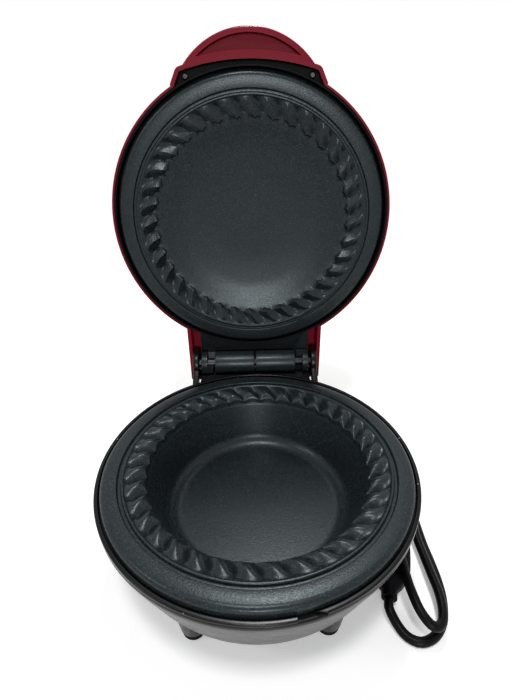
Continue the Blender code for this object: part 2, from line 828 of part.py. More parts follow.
def bowl_profile(floor_radius, mouth_radius, depth, shares):
    return [(0.0, -depth)] + [
        (floor_radius + (mouth_radius - floor_radius) * out, -depth * down) for out, down in shares
    ]


def lower_plate(frame, surface):
    hollow = bowl_profile(BOWL_FLOOR_RADIUS, MOUTH_RADIUS, BOWL_DEPTH, BOWL_SHARES)
    rows = []
    for share, level in LOWER_ROWS:
        radius = MOUTH_RADIUS + (CRUST_RADIUS - MOUTH_RADIUS) * share
        height = -MOUTH_DROP + (MOUTH_DROP - CRUST_BEAD) * share
        reach = MOUTH_WAVE if share == 0.0 else 0.0
        rows.append((radius, height, flute_wave(LOWER_FLUTE * level, reach, share, 1)))
    plate = plate_solid("lower_plate", hollow, rows, BOWL_NECK_RADIUS)
    add_hinge_side(plate, frame, up=False)
    for angle in SCREW_ANGLES:
        x, y = SCREW_CIRCLE * cos(angle), SCREW_CIRCLE * sin(angle)
        join(
            plate,
            frame,
            cylinder(
                "boss",
                PLATE_BOSS_RADIUS,
                (x, y, LOWER_BOSS_END),
                (x, y, BOWL_UNDER + PLATE_WALL / 2),
                BOSS_STEPS,
            ),
        )
        cut(
            plate,
            frame,
            cylinder(
                "boss_hole",
                SHANK_RADIUS + SHANK_GAP,
                (x, y, LOWER_BOSS_END - OVERRUN),
                (x, y, -BOWL_DEPTH - PLATE_SKIN),
                SCREW_STEPS,
            ),
        )
    for side in (-1, 1):
        x = side * BRACKET_SCREW_X
        cut(
            plate,
            frame,
            cylinder(
                "bracket_hole",
                BRACKET_SHANK_RADIUS + SHANK_GAP,
                (x, 0, BOWL_UNDER - OVERRUN),
                (x, 0, bracket_hole_end()),
                SCREW_STEPS,
            ),
        )
    cut(plate, frame, pin_hole("pin_hole"))
    return finish(plate, surface, frame)


def upper_plate(frame, surface):
    hollow = [(0.0, -RECESS_DEPTH)] + [
        (CREST_RADIUS * out, -RECESS_DEPTH * down) for out, down in RECESS_SHARES
    ]
    rows = []
    for share, level in UPPER_ROWS:
        radius = CREST_RADIUS + (CRUST_RADIUS - CREST_RADIUS) * share
        reach = CREST_WAVE if share == 0.0 else 0.0
        rows.append((radius, -CREST_DROP, flute_wave(UPPER_FLUTE * level, reach, share, -1)))
    plate = plate_solid("upper_plate", hollow, rows, RECESS_NECK_RADIUS)
    turn_over = Matrix.Translation((0, 0, UPPER_FACE)) @ Matrix.Diagonal((1, 1, -1, 1))
    plate.data.transform(turn_over)
    plate.data.flip_normals()
    add_hinge_side(plate, frame, up=True)
    lug = arc((HINGE_Y, HINGE_Z), LUG_RADIUS, LUG_START_ANGLE, LUG_START_ANGLE + LUG_SWEEP, 6)
    lug.append((HINGE_Y, HINGE_Z))
    join(
        plate,
        frame,
        slab("stop_lug", lug, -COLLAR_RING + GAP, -KNUCKLE_END + GAP, along_x=True),
    )
    back = UPPER_FACE + RECESS_DEPTH
    for angle in SCREW_ANGLES:
        x, y = SCREW_CIRCLE * cos(angle), SCREW_CIRCLE * sin(angle)
        top = (x, y, UPPER_BOSS_TOP)
        join(plate, frame, cylinder("boss", PLATE_BOSS_RADIUS, (x, y, back), top, BOSS_STEPS))
        cut(
            plate,
            frame,
            cylinder(
                "boss_hole",
                SHANK_RADIUS + SHANK_GAP,
                (x, y, LID_SHANK_END - GAP),
                (x, y, UPPER_BOSS_TOP + OVERRUN),
                SCREW_STEPS,
            ),
        )
    cut(plate, frame, pin_hole("pin_hole"))
    return finish(plate, surface, frame)


def heater(name, height, drop, frame, surface):
    """A tubular element round the plate's back, open at the hinge, with both ends bent away from it."""
    start = pi / 2 + HEATER_OPENING / 2
    sweep = 2 * pi - HEATER_OPENING
    points = [
        (
            HEATER_RADIUS * cos(start + sweep * step / HEATER_POINTS),
            HEATER_RADIUS * sin(start + sweep * step / HEATER_POINTS),
            height,
        )
        for step in range(HEATER_POINTS + 1)
    ]
    obj = tube(name, points, HEATER_TUBE)
    obj = helper_free(obj)
    for x, y, _ in (points[0], points[-1]):
        join(
            obj,
            frame,
            cylinder(
                "terminal", HEATER_TUBE / 2, (x, y, height), (x, y, height + drop * TERMINAL_LENGTH), SCREW_STEPS
            ),
        )
    return finish(obj, surface, frame)


def helper_free(curve_object):
    """The closed mesh of a tube, ready to be joined or cut."""
    name = curve_object.name
    curve = curve_object.data
    bpy.data.objects.remove(curve_object, do_unlink=True)
    return solid_from_curve(name, curve, Matrix.Identity(4))


def terminal_places():
    half = HEATER_OPENING / 2
    return [
        (HEATER_RADIUS * cos(pi / 2 + side * half), HEATER_RADIUS * sin(pi / 2 + side * half))
        for side in (1, -1)
    ]


def lower_reflector(frame, surface):
    top = [
        (REFLECTOR_RIM_RADIUS, -REFLECTOR_RIM_DEPTH),
        (REFLECTOR_FLAT_RADIUS, REFLECTOR_TOP),
        (REFLECTOR_HOLE, REFLECTOR_TOP),
    ]
    under = [(radius, height - REFLECTOR_THICKNESS) for radius, height in reversed(top)]
    dish = turned("lower_reflector", under + top, closed=True, steps=HIDDEN_STEPS)
    for angle in SCREW_ANGLES:
        x, y = SCREW_CIRCLE * cos(angle), SCREW_CIRCLE * sin(angle)
        cut(dish, frame, through_hole(x, y, REFLECTOR_UNDER, REFLECTOR_TOP))
    for x, y in terminal_places():
        cut(
            dish,
            frame,
            cylinder(
                "terminal_hole",
                TERMINAL_HOLE,
                (x, y, REFLECTOR_TOP),
                (x, y, -REFLECTOR_RIM_DEPTH),
                SCREW_STEPS,
            ),
        )
    return finish(dish, surface, frame)


def through_hole(x, y, low, high, radius=SHANK_RADIUS + SHANK_GAP):
    return cylinder("hole", radius, (x, y, low - OVERRUN), (x, y, high + OVERRUN), SCREW_STEPS)


def upper_reflector(frame, surface):
    low = UPPER_BOSS_TOP + GAP
    high = low + REFLECTOR_THICKNESS
    disc = cylinder("upper_reflector", UPPER_REFLECTOR_RADIUS, (0, 0, low), (0, 0, high), HIDDEN_STEPS)
    for angle in SCREW_ANGLES:
        cut(disc, frame, through_hole(SCREW_CIRCLE * cos(angle), SCREW_CIRCLE * sin(angle), low, high))
    return finish(disc, surface, frame)


def base_profile():
    depth = BASE_TOP + BASE_BOTTOM
    return [(RIM_RADIUS * out, -BASE_BOTTOM + depth * up) for out, up in BASE_SHARES]


def base_shell(frame, surface):
    outer = base_profile() + [(0.0, -BASE_BOTTOM)]
    inner = offset(outer, -BASE_WALL)[1:-1:2]
    seat_under = BASE_TOP - SEAT_THICKNESS
    profile = [(0.0, BASE_FLOOR)] + [c for c in reversed(inner) if c[1] < seat_under - GAP]
    profile += [(SEAT_RADIUS, seat_under), (SEAT_RADIUS, BASE_TOP), (RIM_RADIUS, BASE_TOP)]
    shell = turned("base_shell", profile + outer)
    add_ears(shell, frame)
    add_feet(shell, frame)
    add_posts(shell, frame)
    centre = -RELIEF_DROP
    join(
        shell,
        frame,
        cylinder("cord_boss", RELIEF_BOSS_RADIUS, (0, RELIEF_BOSS_START, centre), (0, RELIEF_BOSS_END, centre)),
    )
    cut(
        shell,
        frame,
        cylinder(
            "cord_hole",
            RELIEF_NECK_RADIUS + GAP,
            (0, RELIEF_BOSS_START - OVERRUN, centre),
            (0, RELIEF_BOSS_END + OVERRUN, centre),
        ),
        cylinder(
            "relief_pocket",
            RELIEF_FLANGE_RADIUS + GAP,
            (0, RELIEF_INNER - 2 * RELIEF_FLANGE, centre),
            (0, RELIEF_BOSS_START, centre),
        ),
        block(
            "tongue_window",
            (-TONGUE_HALF_WIDTH - WINDOW_GAP, WINDOW_FRONT, TONGUE_BOTTOM - WINDOW_DROP),
            (TONGUE_HALF_WIDTH + WINDOW_GAP, HINGE_Y, HINGE_Z),
        ),
    )
    return finish(shell, surface, frame)


def add_ears(shell, frame):
    """The two ears that carry the hinge pin, each a lobe and an arm."""
    arm = [
        (HINGE_Y - EAR_RADIUS * cos(radians(5)), HINGE_Z - EAR_RADIUS * sin(radians(5))),
        (EAR_KNEE, BASE_TOP - GAP),
        (EAR_FRONT, BASE_TOP - GAP),
        (EAR_FRONT, -EAR_DEPTH),
        (EAR_KNEE, -EAR_DEPTH),
        (HINGE_Y - EAR_RADIUS * cos(radians(55)), HINGE_Z - EAR_RADIUS * sin(radians(55))),
    ]
    for side in (-1, 1):
        low, high = sorted((side * EAR_INNER, side * EAR_OUTER))
        lobe = cylinder(
            "ear_lobe", EAR_RADIUS, (low, HINGE_Y, HINGE_Z), (high, HINGE_Y, HINGE_Z), LOBE_STEPS
        )
        join(shell, frame, slab("ear_arm", arm, low, high, along_x=True), lobe)
        face = side * EAR_OUTER
        cut(
            shell,
            frame,
            cylinder(
                "counterbore",
                COUNTERBORE_RADIUS,
                (face + side * OVERRUN, HINGE_Y, HINGE_Z),
                (face - side * COUNTERBORE_DEPTH, HINGE_Y, HINGE_Z),
            ),
        )
    cut(shell, frame, pin_hole("ear_hole"))


def foot_places():
    return [(x, y) for y in (-FOOT_Y, FOOT_Y) for x in (-FOOT_X, FOOT_X)]


def add_feet(shell, frame):
    for x, y in foot_places():
        join(
            shell,
            frame,
            cylinder(
                "foot_boss",
                FOOT_TOP_RADIUS,
                (x, y, -FOOT_ROOT),
                (x, y, PAD_TOP + GAP),
                tip_radius=FOOT_BOTTOM_RADIUS,
            ),
        )


def add_posts(shell, frame):
    """Posts for the screws that pull the lower plate down, with a counterbore from below."""
    ledge = POST_TOP - POST_LEDGE
    for angle in SCREW_ANGLES:
        x, y = SCREW_CIRCLE * cos(angle), SCREW_CIRCLE * sin(angle)
        join(
            shell,
            frame,
            cylinder(
                "post",
                POST_RADIUS,
                (x, y, -BASE_BOTTOM + BASE_WALL / 2),
                (x, y, POST_TOP),
                BOSS_STEPS,
            ),
        )
        cut(
            shell,
            frame,
            cylinder(
                "post_counterbore",
                BASE_HEAD_RADIUS + POST_HEAD_GAP,
                (x, y, -BASE_BOTTOM - OVERRUN),
                (x, y, ledge),
                BOSS_STEPS,
            ),
            through_hole(x, y, ledge, POST_TOP),
        )


def base_ring(frame, surface):
    """The trim ring round the lower plate: its top falls from the rear to the front."""
    middle = -(RING_FRONT_TOP + RING_REAR_TOP) / 2
    swing = (RING_FRONT_TOP - RING_REAR_TOP) / 2

    def slope(angle):
        return 0.0, swing * sin(angle)

    rings = [
        ring_of(RING_INNER_RADIUS, PLATE_UNDER, SHELL_STEPS),
        ring_of(RING_OUTER_RADIUS, PLATE_UNDER, SHELL_STEPS),
        ring_of(RING_OUTER_RADIUS, middle - PLATE_CORNER, SHELL_STEPS, slope),
        ring_of(RING_OUTER_RADIUS - PLATE_CORNER, middle, SHELL_STEPS, slope),
        ring_of(RING_INNER_RADIUS, middle, SHELL_STEPS, slope),
    ]
    ring = loft("base_ring", rings)
    outer = -sqrt(RING_OUTER_RADIUS**2 - RING_NOTCH_END**2)
    cut(
        ring,
        frame,
        block(
            "ring_notch",
            (RING_NOTCH_START, -RING_OUTER_RADIUS - OVERRUN, PLATE_UNDER - OVERRUN),
            (RING_NOTCH_END, outer + RING_NOTCH_DEPTH, OVERRUN),
        ),
    )
    return finish(ring, surface, frame)


def feet(frame, surface):
    low = -PLATE_HEIGHT
    for index, (x, y) in enumerate(foot_places(), 1):
        pad = turned(
            f"foot_{index}",
            [
                (0.0, PAD_TOP),
                (PAD_RADIUS, PAD_TOP),
                (PAD_RADIUS, low + PAD_EDGE),
                (PAD_RADIUS - PAD_EDGE, low),
                (0.0, low),
            ],
            steps=SMALL_STEPS,
        )
        finish(pad, surface, frame)
        pad.location = (x, y, 0)


def screw(name, place, seat, away, head, shank, frame, surface):
    """A screw whose head lies against seat on the side that away points to: head and shank are (radius, size)."""
    x, y = place
    head_radius, head_height = head
    shank_radius, shank_end = shank
    face = seat + away * GAP
    top = face + away * head_height
    profile = [
        (0.0, top),
        (head_radius, top),
        (head_radius, face),
        (shank_radius, face),
        (shank_radius, shank_end),
        (0.0, shank_end),
    ]
    if away < 0:
        profile.reverse()
    obj = turned(name, profile, steps=SCREW_STEPS)
    finish(obj, surface, frame)
    obj.location = (x, y, 0)
    return obj


def screws(frame, lid_frame, surface, dark_surface):
    for index, angle in enumerate(SCREW_ANGLES, 1):
        place = SCREW_CIRCLE * cos(angle), SCREW_CIRCLE * sin(angle)
        screw(
            f"base_screw_{index}",
            place,
            POST_TOP - POST_LEDGE,
            -1,
            (BASE_HEAD_RADIUS, BASE_HEAD_HEIGHT),
            (SHANK_RADIUS, -BOWL_DEPTH - PLATE_SKIN - GAP),
            frame,
            surface,
        )
        screw(
            f"plate_screw_{index}",
            place,
            LINER_FLOOR + LINER_FLOOR_WALL,
            1,
            (LID_HEAD_RADIUS, LID_HEAD_HEIGHT),
            (SHANK_RADIUS, LID_SHANK_END),
            lid_frame,
            surface,
        )
    for index, side in enumerate((-1, 1), 1):
        screw(
            f"liner_screw_{index}",
            (side * LINER_SCREW_X, -LINER_SCREW_Y),
            CRESCENT_UNDER,
            -1,
            (LINER_HEAD_RADIUS, LINER_HEAD_HEIGHT),
            (LINER_SHANK_RADIUS, LINER_SHANK_END),
            lid_frame,
            dark_surface,
        )
        screw(
            f"thermostat_screw_{index}",
            (side * BRACKET_SCREW_X, 0.0),
            bracket_under(),
            -1,
            (BRACKET_HEAD_RADIUS, BRACKET_HEAD_HEIGHT),
            (BRACKET_SHANK_RADIUS, bracket_hole_end() - GAP),
            frame,
            surface,
        )


def bracket_top():
    return BOWL_UNDER - GAP


def bracket_under():
    return bracket_top() - BRACKET_THICKNESS


def bracket_hole_end():
    return bracket_under() + BRACKET_SHANK_LENGTH


def thermostat(frame, surface):
    """A disc thermostat on a bracket screwed under the bowl, with two terminal tabs."""
    top, under = bracket_top(), bracket_under()
    bottom = under - THERMOSTAT_HEIGHT
    body = cylinder("thermostat", THERMOSTAT_RADIUS, (0, 0, under + BRACKET_THICKNESS / 2), (0, 0, bottom))
    join(
        body,
        frame,
        block(
            "bracket",
            (-BRACKET_LENGTH / 2, -BRACKET_WIDTH / 2, under),
            (BRACKET_LENGTH / 2, BRACKET_WIDTH / 2, top),
        ),
    )
    for side in (-1, 1):
        x = side * TAB_X
        join(
            body,
            frame,
            block(
                "tab",
                (x - TAB_WIDTH / 2, -TAB_DEPTH / 2, bottom - TAB_HEIGHT),
                (x + TAB_WIDTH / 2, TAB_DEPTH / 2, bottom + TAB_WIDTH / 2),
            ),
        )
        hole = through_hole(side * BRACKET_SCREW_X, 0.0, under, top, BRACKET_SHANK_RADIUS + SHANK_GAP)
        cut(body, frame, hole)
    return finish(body, surface, frame)


def thermal_fuse(frame, surface):
    height = BOWL_UNDER - GAP - FUSE_RADIUS
    return finish(
        cylinder(
            "thermal_fuse",
            FUSE_RADIUS,
            (-FUSE_HALF_LENGTH, -FUSE_Y, height),
            (FUSE_HALF_LENGTH, -FUSE_Y, height),
            SCREW_STEPS,
        ),
        surface,
        frame,
    )


def wire_points(shares):
    return [(RIM_RADIUS * x, RIM_RADIUS * y, -BASE_BOTTOM * z) for x, y, z in shares]


def wires(frame, surface):
    """The line, neutral, link and feed wires inside the base."""
    fuse = BOWL_UNDER - GAP - FUSE_RADIUS
    tab = TAB_X + TAB_WIDTH / 2 + WIRE_RADIUS
    tab_height = bracket_under() - THERMOSTAT_HEIGHT - TAB_HEIGHT / 2
    terminal_end = -PLATE_FLANGE - GAP - HEATER_TUBE - TERMINAL_LENGTH - GAP - WIRE_RADIUS
    inlet = RELIEF_INNER - RELIEF_FLANGE - WIRE_RADIUS
    straight = inlet - 2 * WIRE_RADIUS
    (left_x, left_y), (right_x, right_y) = terminal_places()
    fuse_end = FUSE_HALF_LENGTH + WIRE_RADIUS
    core = WIRE_RADIUS + GAP
    routes = {
        "wire_neutral": [
            (core, inlet, -RELIEF_DROP),
            (core, straight, -RELIEF_DROP),
            *wire_points(NEUTRAL_SHARES),
            (right_x, right_y, terminal_end),
        ],
        "wire_line": [
            (-core, inlet, -RELIEF_DROP),
            (-core, straight, -RELIEF_DROP),
            *wire_points(LINE_SHARES),
            (-fuse_end, -FUSE_Y, fuse),
        ],
        "wire_link": [(fuse_end, -FUSE_Y, fuse), *wire_points(LINK_SHARES), (tab, 0.0, tab_height)],
        "wire_feed": [(-tab, 0.0, tab_height), *wire_points(FEED_SHARES), (left_x, left_y, terminal_end)],
    }
    for name, route in routes.items():
        finish(tube(name, smooth_line(route, 4 * WIRE_RADIUS), WIRE_RADIUS, 1), surface, frame)


def hinge_pin(frame, surface):
    pin = cylinder(
        "hinge_pin", PIN_RADIUS, (-PIN_HALF_LENGTH, HINGE_Y, HINGE_Z), (PIN_HALF_LENGTH, HINGE_Y, HINGE_Z)
    )
    head_end = -PIN_HALF_LENGTH + PIN_HEAD_THICKNESS
    join(
        pin,
        frame,
        cylinder(
            "pin_head",
            PIN_HEAD_RADIUS,
            (-PIN_HALF_LENGTH - WELD, HINGE_Y, HINGE_Z),
            (head_end, HINGE_Y, HINGE_Z),
        ),
    )
    finish(pin, surface, frame)
    start = EAR_OUTER - COUNTERBORE_DEPTH + GAP
    retainer = cylinder(
        "pin_retainer",
        PIN_HEAD_RADIUS,
        (start, HINGE_Y, HINGE_Z),
        (start + RETAINER_THICKNESS, HINGE_Y, HINGE_Z),
    )
    cut(retainer, frame, pin_hole("retainer_hole", PIN_RADIUS + GAP))
    finish(retainer, surface, frame)


def lid_profile():
    return [
        (LID_RADIUS * out, LID_BOTTOM + (LID_HEIGHT - LID_BOTTOM) * up) for out, up in LID_SHARES
    ]


def brow_outline(shrink=0.0, root=BROW_ROOT):
    """The brow over the lid's front: a shallow arc, two rounded corners and straight sides."""
    arc_radius = BROW_ARC_RADIUS - shrink
    centre = BROW_ARC_RADIUS - BROW_CREST
    corner = BROW_CORNER - shrink
    half = BROW_HALF_WIDTH - shrink
    corner_x = half - corner
    reach = arc_radius - corner
    corner_y = centre - sqrt(reach**2 - corner_x**2)
    lean = asin(corner_x / reach)
    front = arc((0, centre), arc_radius, -pi / 2 - lean, -pi / 2 + lean, 12)
    right = arc((corner_x, corner_y), corner, -pi / 2 + lean, 0, 4)
    left = arc((-corner_x, corner_y), corner, pi, 3 * pi / 2 - lean, 4)
    return left + front[1:-1] + right + [(half, -root), (-half, -root)]


def handle_outline():
    return arc((0, -HANDLE_CENTRE), HANDLE_ARC_RADIUS, pi, 2 * pi, 28)


def handle_recess_outline():
    """The crescent between the handle's rim and the brow, seen from below."""
    outer_radius = HANDLE_ARC_RADIUS - HANDLE_WALL
    inner_radius = BROW_ARC_RADIUS + HANDLE_WALL
    inner_centre = BROW_ARC_RADIUS - BROW_CREST
    apart = inner_centre + HANDLE_CENTRE
    meet = (apart**2 + outer_radius**2 - inner_radius**2) / (2 * apart)
    half = sqrt(outer_radius**2 - meet**2)
    outer_lean = atan2(half, -meet)
    inner_lean = asin(half / inner_radius)
    outer = arc((0, -HANDLE_CENTRE), outer_radius, -pi / 2 - outer_lean, -pi / 2 + outer_lean, 20)
    inner = arc((0, inner_centre), inner_radius, -pi / 2 + inner_lean, -pi / 2 - inner_lean, 12)
    return outer + inner[1:-1]


def lid_shell(frame, surface):
    """The red lid: dome, brow, handle and hinge hood in one moulding, hollow from below."""
    below = LID_BOTTOM - OVERRUN
    outer = lid_profile()
    shell = turned("lid_shell", outer[:-1] + [(LID_RADIUS, below), (0.0, below)])
    hood_top = HINGE_Z + HOOD_RADIUS
    join(
        shell,
        frame,
        slab("brow", brow_outline(), below, BROW_TOP),
        slab("handle", handle_outline(), HANDLE_BOTTOM, HANDLE_TOP),
        block("hood_bridge", (-HOOD_HALF_WIDTH, HOOD_ROOT, below), (HOOD_HALF_WIDTH, HINGE_Y, hood_top)),
        cylinder(
            "hood",
            HOOD_RADIUS,
            (-HOOD_HALF_WIDTH, HINGE_Y, HINGE_Z),
            (HOOD_HALF_WIDTH, HINGE_Y, HINGE_Z),
            LOBE_STEPS,
        ),
    )
    cut(
        shell,
        frame,
        block(
            "lid_underside",
            (-2 * LID_RADIUS, -2 * LID_RADIUS, -2 * LID_RADIUS),
            (2 * LID_RADIUS, 2 * LID_RADIUS, LID_BOTTOM),
        ),
    )
    deep = LID_BOTTOM - 2 * HOOD_RADIUS
    rebate_top = LINER_SEAT_TOP + GAP
    inner = [corner for corner in offset(outer, -LID_WALL) if corner[1] > rebate_top + WALL_STEP]
    inner[0] = (0.0, inner[0][1])
    step_radius = inner[-1][0]
    void = inner + [
        (step_radius, rebate_top + GAP),
        (REBATE_RADIUS, rebate_top),
        (REBATE_RADIUS, deep),
        (0.0, deep),
    ]
    inside = HOOD_HALF_WIDTH - HOOD_WALL
    cut(
        shell,
        frame,
        turned("dome_void", void),
        slab("brow_void", brow_outline(BROW_WALL), deep, BROW_TOP - BROW_CEILING),
        slab("handle_void", handle_recess_outline(), HANDLE_BOTTOM - OVERRUN, HANDLE_TOP - HANDLE_PANEL),
        block("bridge_void", (-inside, HOOD_ROOT, deep), (inside, HINGE_Y, HINGE_Z + HOOD_VOID)),
        cylinder("hood_void", HOOD_VOID, (-inside, HINGE_Y, HINGE_Z), (inside, HINGE_Y, HINGE_Z), LOBE_STEPS),
    )
    for side in (-1, 1):
        x, y = side * LINER_SCREW_X, -LINER_SCREW_Y
        join(
            shell,
            frame,
            cylinder(
                "screw_boss",
                LINER_SCREW_BOSS,
                (x, y, LINER_SEAT_TOP + GAP),
                (x, y, BROW_TOP - BROW_CEILING / 2),
            ),
        )
        cut(
            shell,
            frame,
            cylinder(
                "screw_hole",
                LINER_SHANK_RADIUS + SHANK_GAP,
                (x, y, CRESCENT_TOP - OVERRUN),
                (x, y, LINER_SHANK_END + GAP),
                SCREW_STEPS,
            ),
        )
    cut(
        shell,
        frame,
        cylinder(
            "lens_hole",
            LENS_RADIUS + GAP,
            (0, -LENS_Y, LID_HEIGHT - 2 * LENS_LENGTH),
            (0, -LENS_Y, LID_HEIGHT + OVERRUN),
        ),
    )
    return finish(shell, surface, frame)


def lid_liner(frame, surface):
    """The black inner housing of the lid: a thin edge, a seat for the plate's flange and a deep dish."""
    floor_top = LINER_FLOOR + LINER_FLOOR_WALL
    profile = [
        (0.0, floor_top),
        (LINER_FLOOR_RADIUS + LINER_WALL, floor_top),
        (LINER_SHOULDER_RADIUS + LINER_WALL, LINER_SHOULDER),
        (LINER_SEAT_RADIUS + LINER_WALL, LINER_SEAT_TOP),
        (LINER_EDGE_OUTER, LINER_SEAT_TOP),
        (LINER_EDGE_OUTER, GAP),
        (LINER_EDGE_INNER, GAP),
        (LINER_EDGE_INNER, LINER_SEAT),
        (LINER_SEAT_RADIUS, LINER_SEAT),
        (LINER_SHOULDER_RADIUS, LINER_SHOULDER - LINER_WALL / 2),
        (LINER_FLOOR_RADIUS, LINER_FLOOR),
        (0.0, LINER_FLOOR),
    ]
    liner = turned("lid_liner", profile, steps=LINER_STEPS)
    lean = asin((BROW_HALF_WIDTH - BROW_CORNER) / LINER_CRESCENT_RADIUS)
    outline = brow_outline(BROW_WALL + GAP)[:-2]
    outline += arc((0, 0), LINER_CRESCENT_RADIUS, -pi / 2 + lean, -pi / 2 - lean, 12)
    join(liner, frame, slab("crescent", outline, CRESCENT_UNDER, CRESCENT_TOP))
    cut(
        liner,
        frame,
        block(
            "tongue_window",
            (-TONGUE_HALF_WIDTH - WINDOW_GAP, 0.0, LINER_SEAT - WINDOW_GAP),
            (TONGUE_HALF_WIDTH + WINDOW_GAP, HINGE_Y, TONGUE_SPACE + WINDOW_DROP),
        ),
    )
    for side in (-1, 1):
        hole = through_hole(
            side * LINER_SCREW_X, -LINER_SCREW_Y, CRESCENT_UNDER, CRESCENT_TOP, LINER_SHANK_RADIUS + SHANK_GAP
        )
        cut(liner, frame, hole)
    for angle in SCREW_ANGLES:
        x, y = SCREW_CIRCLE * cos(angle), SCREW_CIRCLE * sin(angle)
        cut(liner, frame, through_hole(x, y, LINER_FLOOR, floor_top))
    return finish(liner, surface, frame)


def indicator(frame, lens_surface, lamp_surface):
    """The power light: a lens through the lid's top and a lamp under it."""
    slope_top = dome_height(LENS_Y)
    lens = turned(
        "indicator_lens",
        [
            (0.0, slope_top + LENS_PROUD),
            (LENS_RADIUS, slope_top + LENS_PROUD / 2),
            (LENS_RADIUS, slope_top - LENS_LENGTH),
            (0.0, slope_top - LENS_LENGTH),
        ],
        steps=SMALL_STEPS,
    )
    finish(lens, lens_surface, frame)
    lens.location = (0, -LENS_Y, 0)
    lamp_top = slope_top - LENS_LENGTH - GAP
    lamp = cylinder(
        "indicator_lamp",
        LAMP_RADIUS,
        (0, -LENS_Y, lamp_top - LAMP_HEIGHT),
        (0, -LENS_Y, lamp_top),
        SCREW_STEPS,
    )
    finish(lamp, lamp_surface, frame)


def dome_height(radius):
    """The height of the dome's outside at a distance from its centre."""
    profile = lid_profile()
    for (inner, high), (outer, low) in zip(profile, profile[1:]):
        if inner <= radius <= outer:
            return high + (low - high) * (radius - inner) / (outer - inner)
    return LID_BOTTOM


def strain_relief(frame, surface):
    """The tapered sleeve that guards the cord, held in the base's rear by an inner flange."""
    profile = [
        (0.0, RELIEF_END),
        (RELIEF_TIP_RADIUS, RELIEF_END),
        (RELIEF_ROOT_RADIUS, RELIEF_START + RELIEF_FLANGE + GAP),
        (RELIEF_FLANGE_RADIUS, RELIEF_START + RELIEF_FLANGE),
        (RELIEF_FLANGE_RADIUS, RELIEF_START),
        (RELIEF_NECK_RADIUS, RELIEF_START),
        (RELIEF_NECK_RADIUS, RELIEF_INNER),
        (RELIEF_FLANGE_RADIUS, RELIEF_INNER),
        (RELIEF_FLANGE_RADIUS, RELIEF_INNER - RELIEF_FLANGE),
        (0.0, RELIEF_INNER - RELIEF_FLANGE),
    ]
    relief = turned("strain_relief", profile, steps=SMALL_STEPS)
    finish(relief, surface, frame)
    relief.rotation_euler.x = -pi / 2
    relief.location = (0, 0, -RELIEF_DROP)
    return relief


def plug_frame(frame):
    base = empty("plug_axis", (PLUG_X, PLUG_Y, -PLATE_HEIGHT + PLUG_THICKNESS / 2 + GAP), frame)
    base.rotation_euler.z = -PLUG_TURN
    return base


def plug(frame, body_surface, blade_surface):
    """A moulded plug lying on its flat side: it tapers to the cord and carries two flat blades."""
    axis = plug_frame(frame)
    half = PLUG_THICKNESS / 2
    right = [(PLUG_FRONT_HALF, 0.0), (PLUG_REAR_HALF, PLUG_SHOULDER), (PLUG_REAR_HALF, PLUG_LENGTH)]
    left = [(-x, y) for x, y in reversed(right)]
    body = slab("plug_body", right + left, -half, half)
    bevel = body.modifiers.new("round", "BEVEL")
    bevel.width = PLUG_BEVEL
    bevel.segments = 3
    join(
        body,
        axis,
        cylinder("plug_neck", PLUG_NECK_RADIUS, (0, PLUG_BEVEL * 2, 0), (0, -PLUG_NECK_LENGTH, 0)),
    )
    finish(body, body_surface, axis)
    for index, side in enumerate((-1, 1), 1):
        x = side * BLADE_SPREAD
        blade = block(
            f"plug_pin_{index}",
            (x - BLADE_THICKNESS / 2, PLUG_LENGTH + GAP, -BLADE_HEIGHT / 2),
            (x + BLADE_THICKNESS / 2, PLUG_LENGTH + BLADE_LENGTH, BLADE_HEIGHT / 2),
        )
        finish(blade, blade_surface, axis)


def cord(frame, surface):
    """The cord: a free stretch behind the base, and the loops that lie beside it."""
    start = (0.0, RELIEF_END + GAP, -RELIEF_DROP)
    straight = (0.0, RELIEF_END + GAP + 2 * CORD_RADIUS, -RELIEF_DROP)
    lead = smooth_line([start, straight, *LEAD_ROUTE, HANK_START], 4.4 * CORD_RADIUS)
    entry = PLUG_NECK_LENGTH + GAP
    run = entry + 2 * CORD_RADIUS
    height = -PLATE_HEIGHT + PLUG_THICKNESS / 2 + GAP
    arrive = (PLUG_X - entry * sin(PLUG_TURN), PLUG_Y - entry * cos(PLUG_TURN), height)
    before = (PLUG_X - run * sin(PLUG_TURN), PLUG_Y - run * cos(PLUG_TURN), height)
    hank = smooth_line([HANK_START, *HANK_ROUTE, before, arrive], 3 * CORD_RADIUS)
    toward = (lead[-2] - lead[-1]).normalized()
    lead[-1] = lead[-1] + toward * GAP
    finish(tube("cord_lead", lead, CORD_RADIUS), surface, frame)
    finish(tube("cord_hank", hank, CORD_RADIUS), surface, frame)
    whole = lead + hank
    print(f"cord length {length_of(whole):.4f} m, in {len(lead)} and {len(hank)} points")
    print(f"least gap of the cord to itself {1000 * least_gap(whole, 2 * CORD_RADIUS):.2f} mm")


def least_gap(points, width):
    """The smallest clear distance between stretches of the cord that aren't neighbours along it."""
    steps = [0.0]
    for first, second in zip(points, points[1:]):
        steps.append(steps[-1] + (second - first).length)
    least = 1.0
    for index, point in enumerate(points):
        for other in range(index + 1, len(points) - 1):
            if steps[other] - steps[index] < 4 * width:
                continue
            least = min(least, distance_to_run(point, points[other], points[other + 1]))
    return least - width


def distance_to_run(point, start, end):
    run = end - start
    along = (point - start).dot(run) / max(run.length_squared, WELD**2)
    return (start + run * min(max(along, 0.0), 1.0) - point).length


clear_scene()
PARTS = collection("mini_pie_maker")
CUTTERS = collection("cutters")

appliance = empty("appliance_frame", (0, BASE_Y, PLATE_HEIGHT))
hinge = empty("lid_hinge_axis", (0, HINGE_Y, HINGE_Z), appliance)
hinge.rotation_euler.x = -LID_OPEN
lid = empty("lid_frame", (0, -HINGE_Y, -HINGE_Z), hinge)

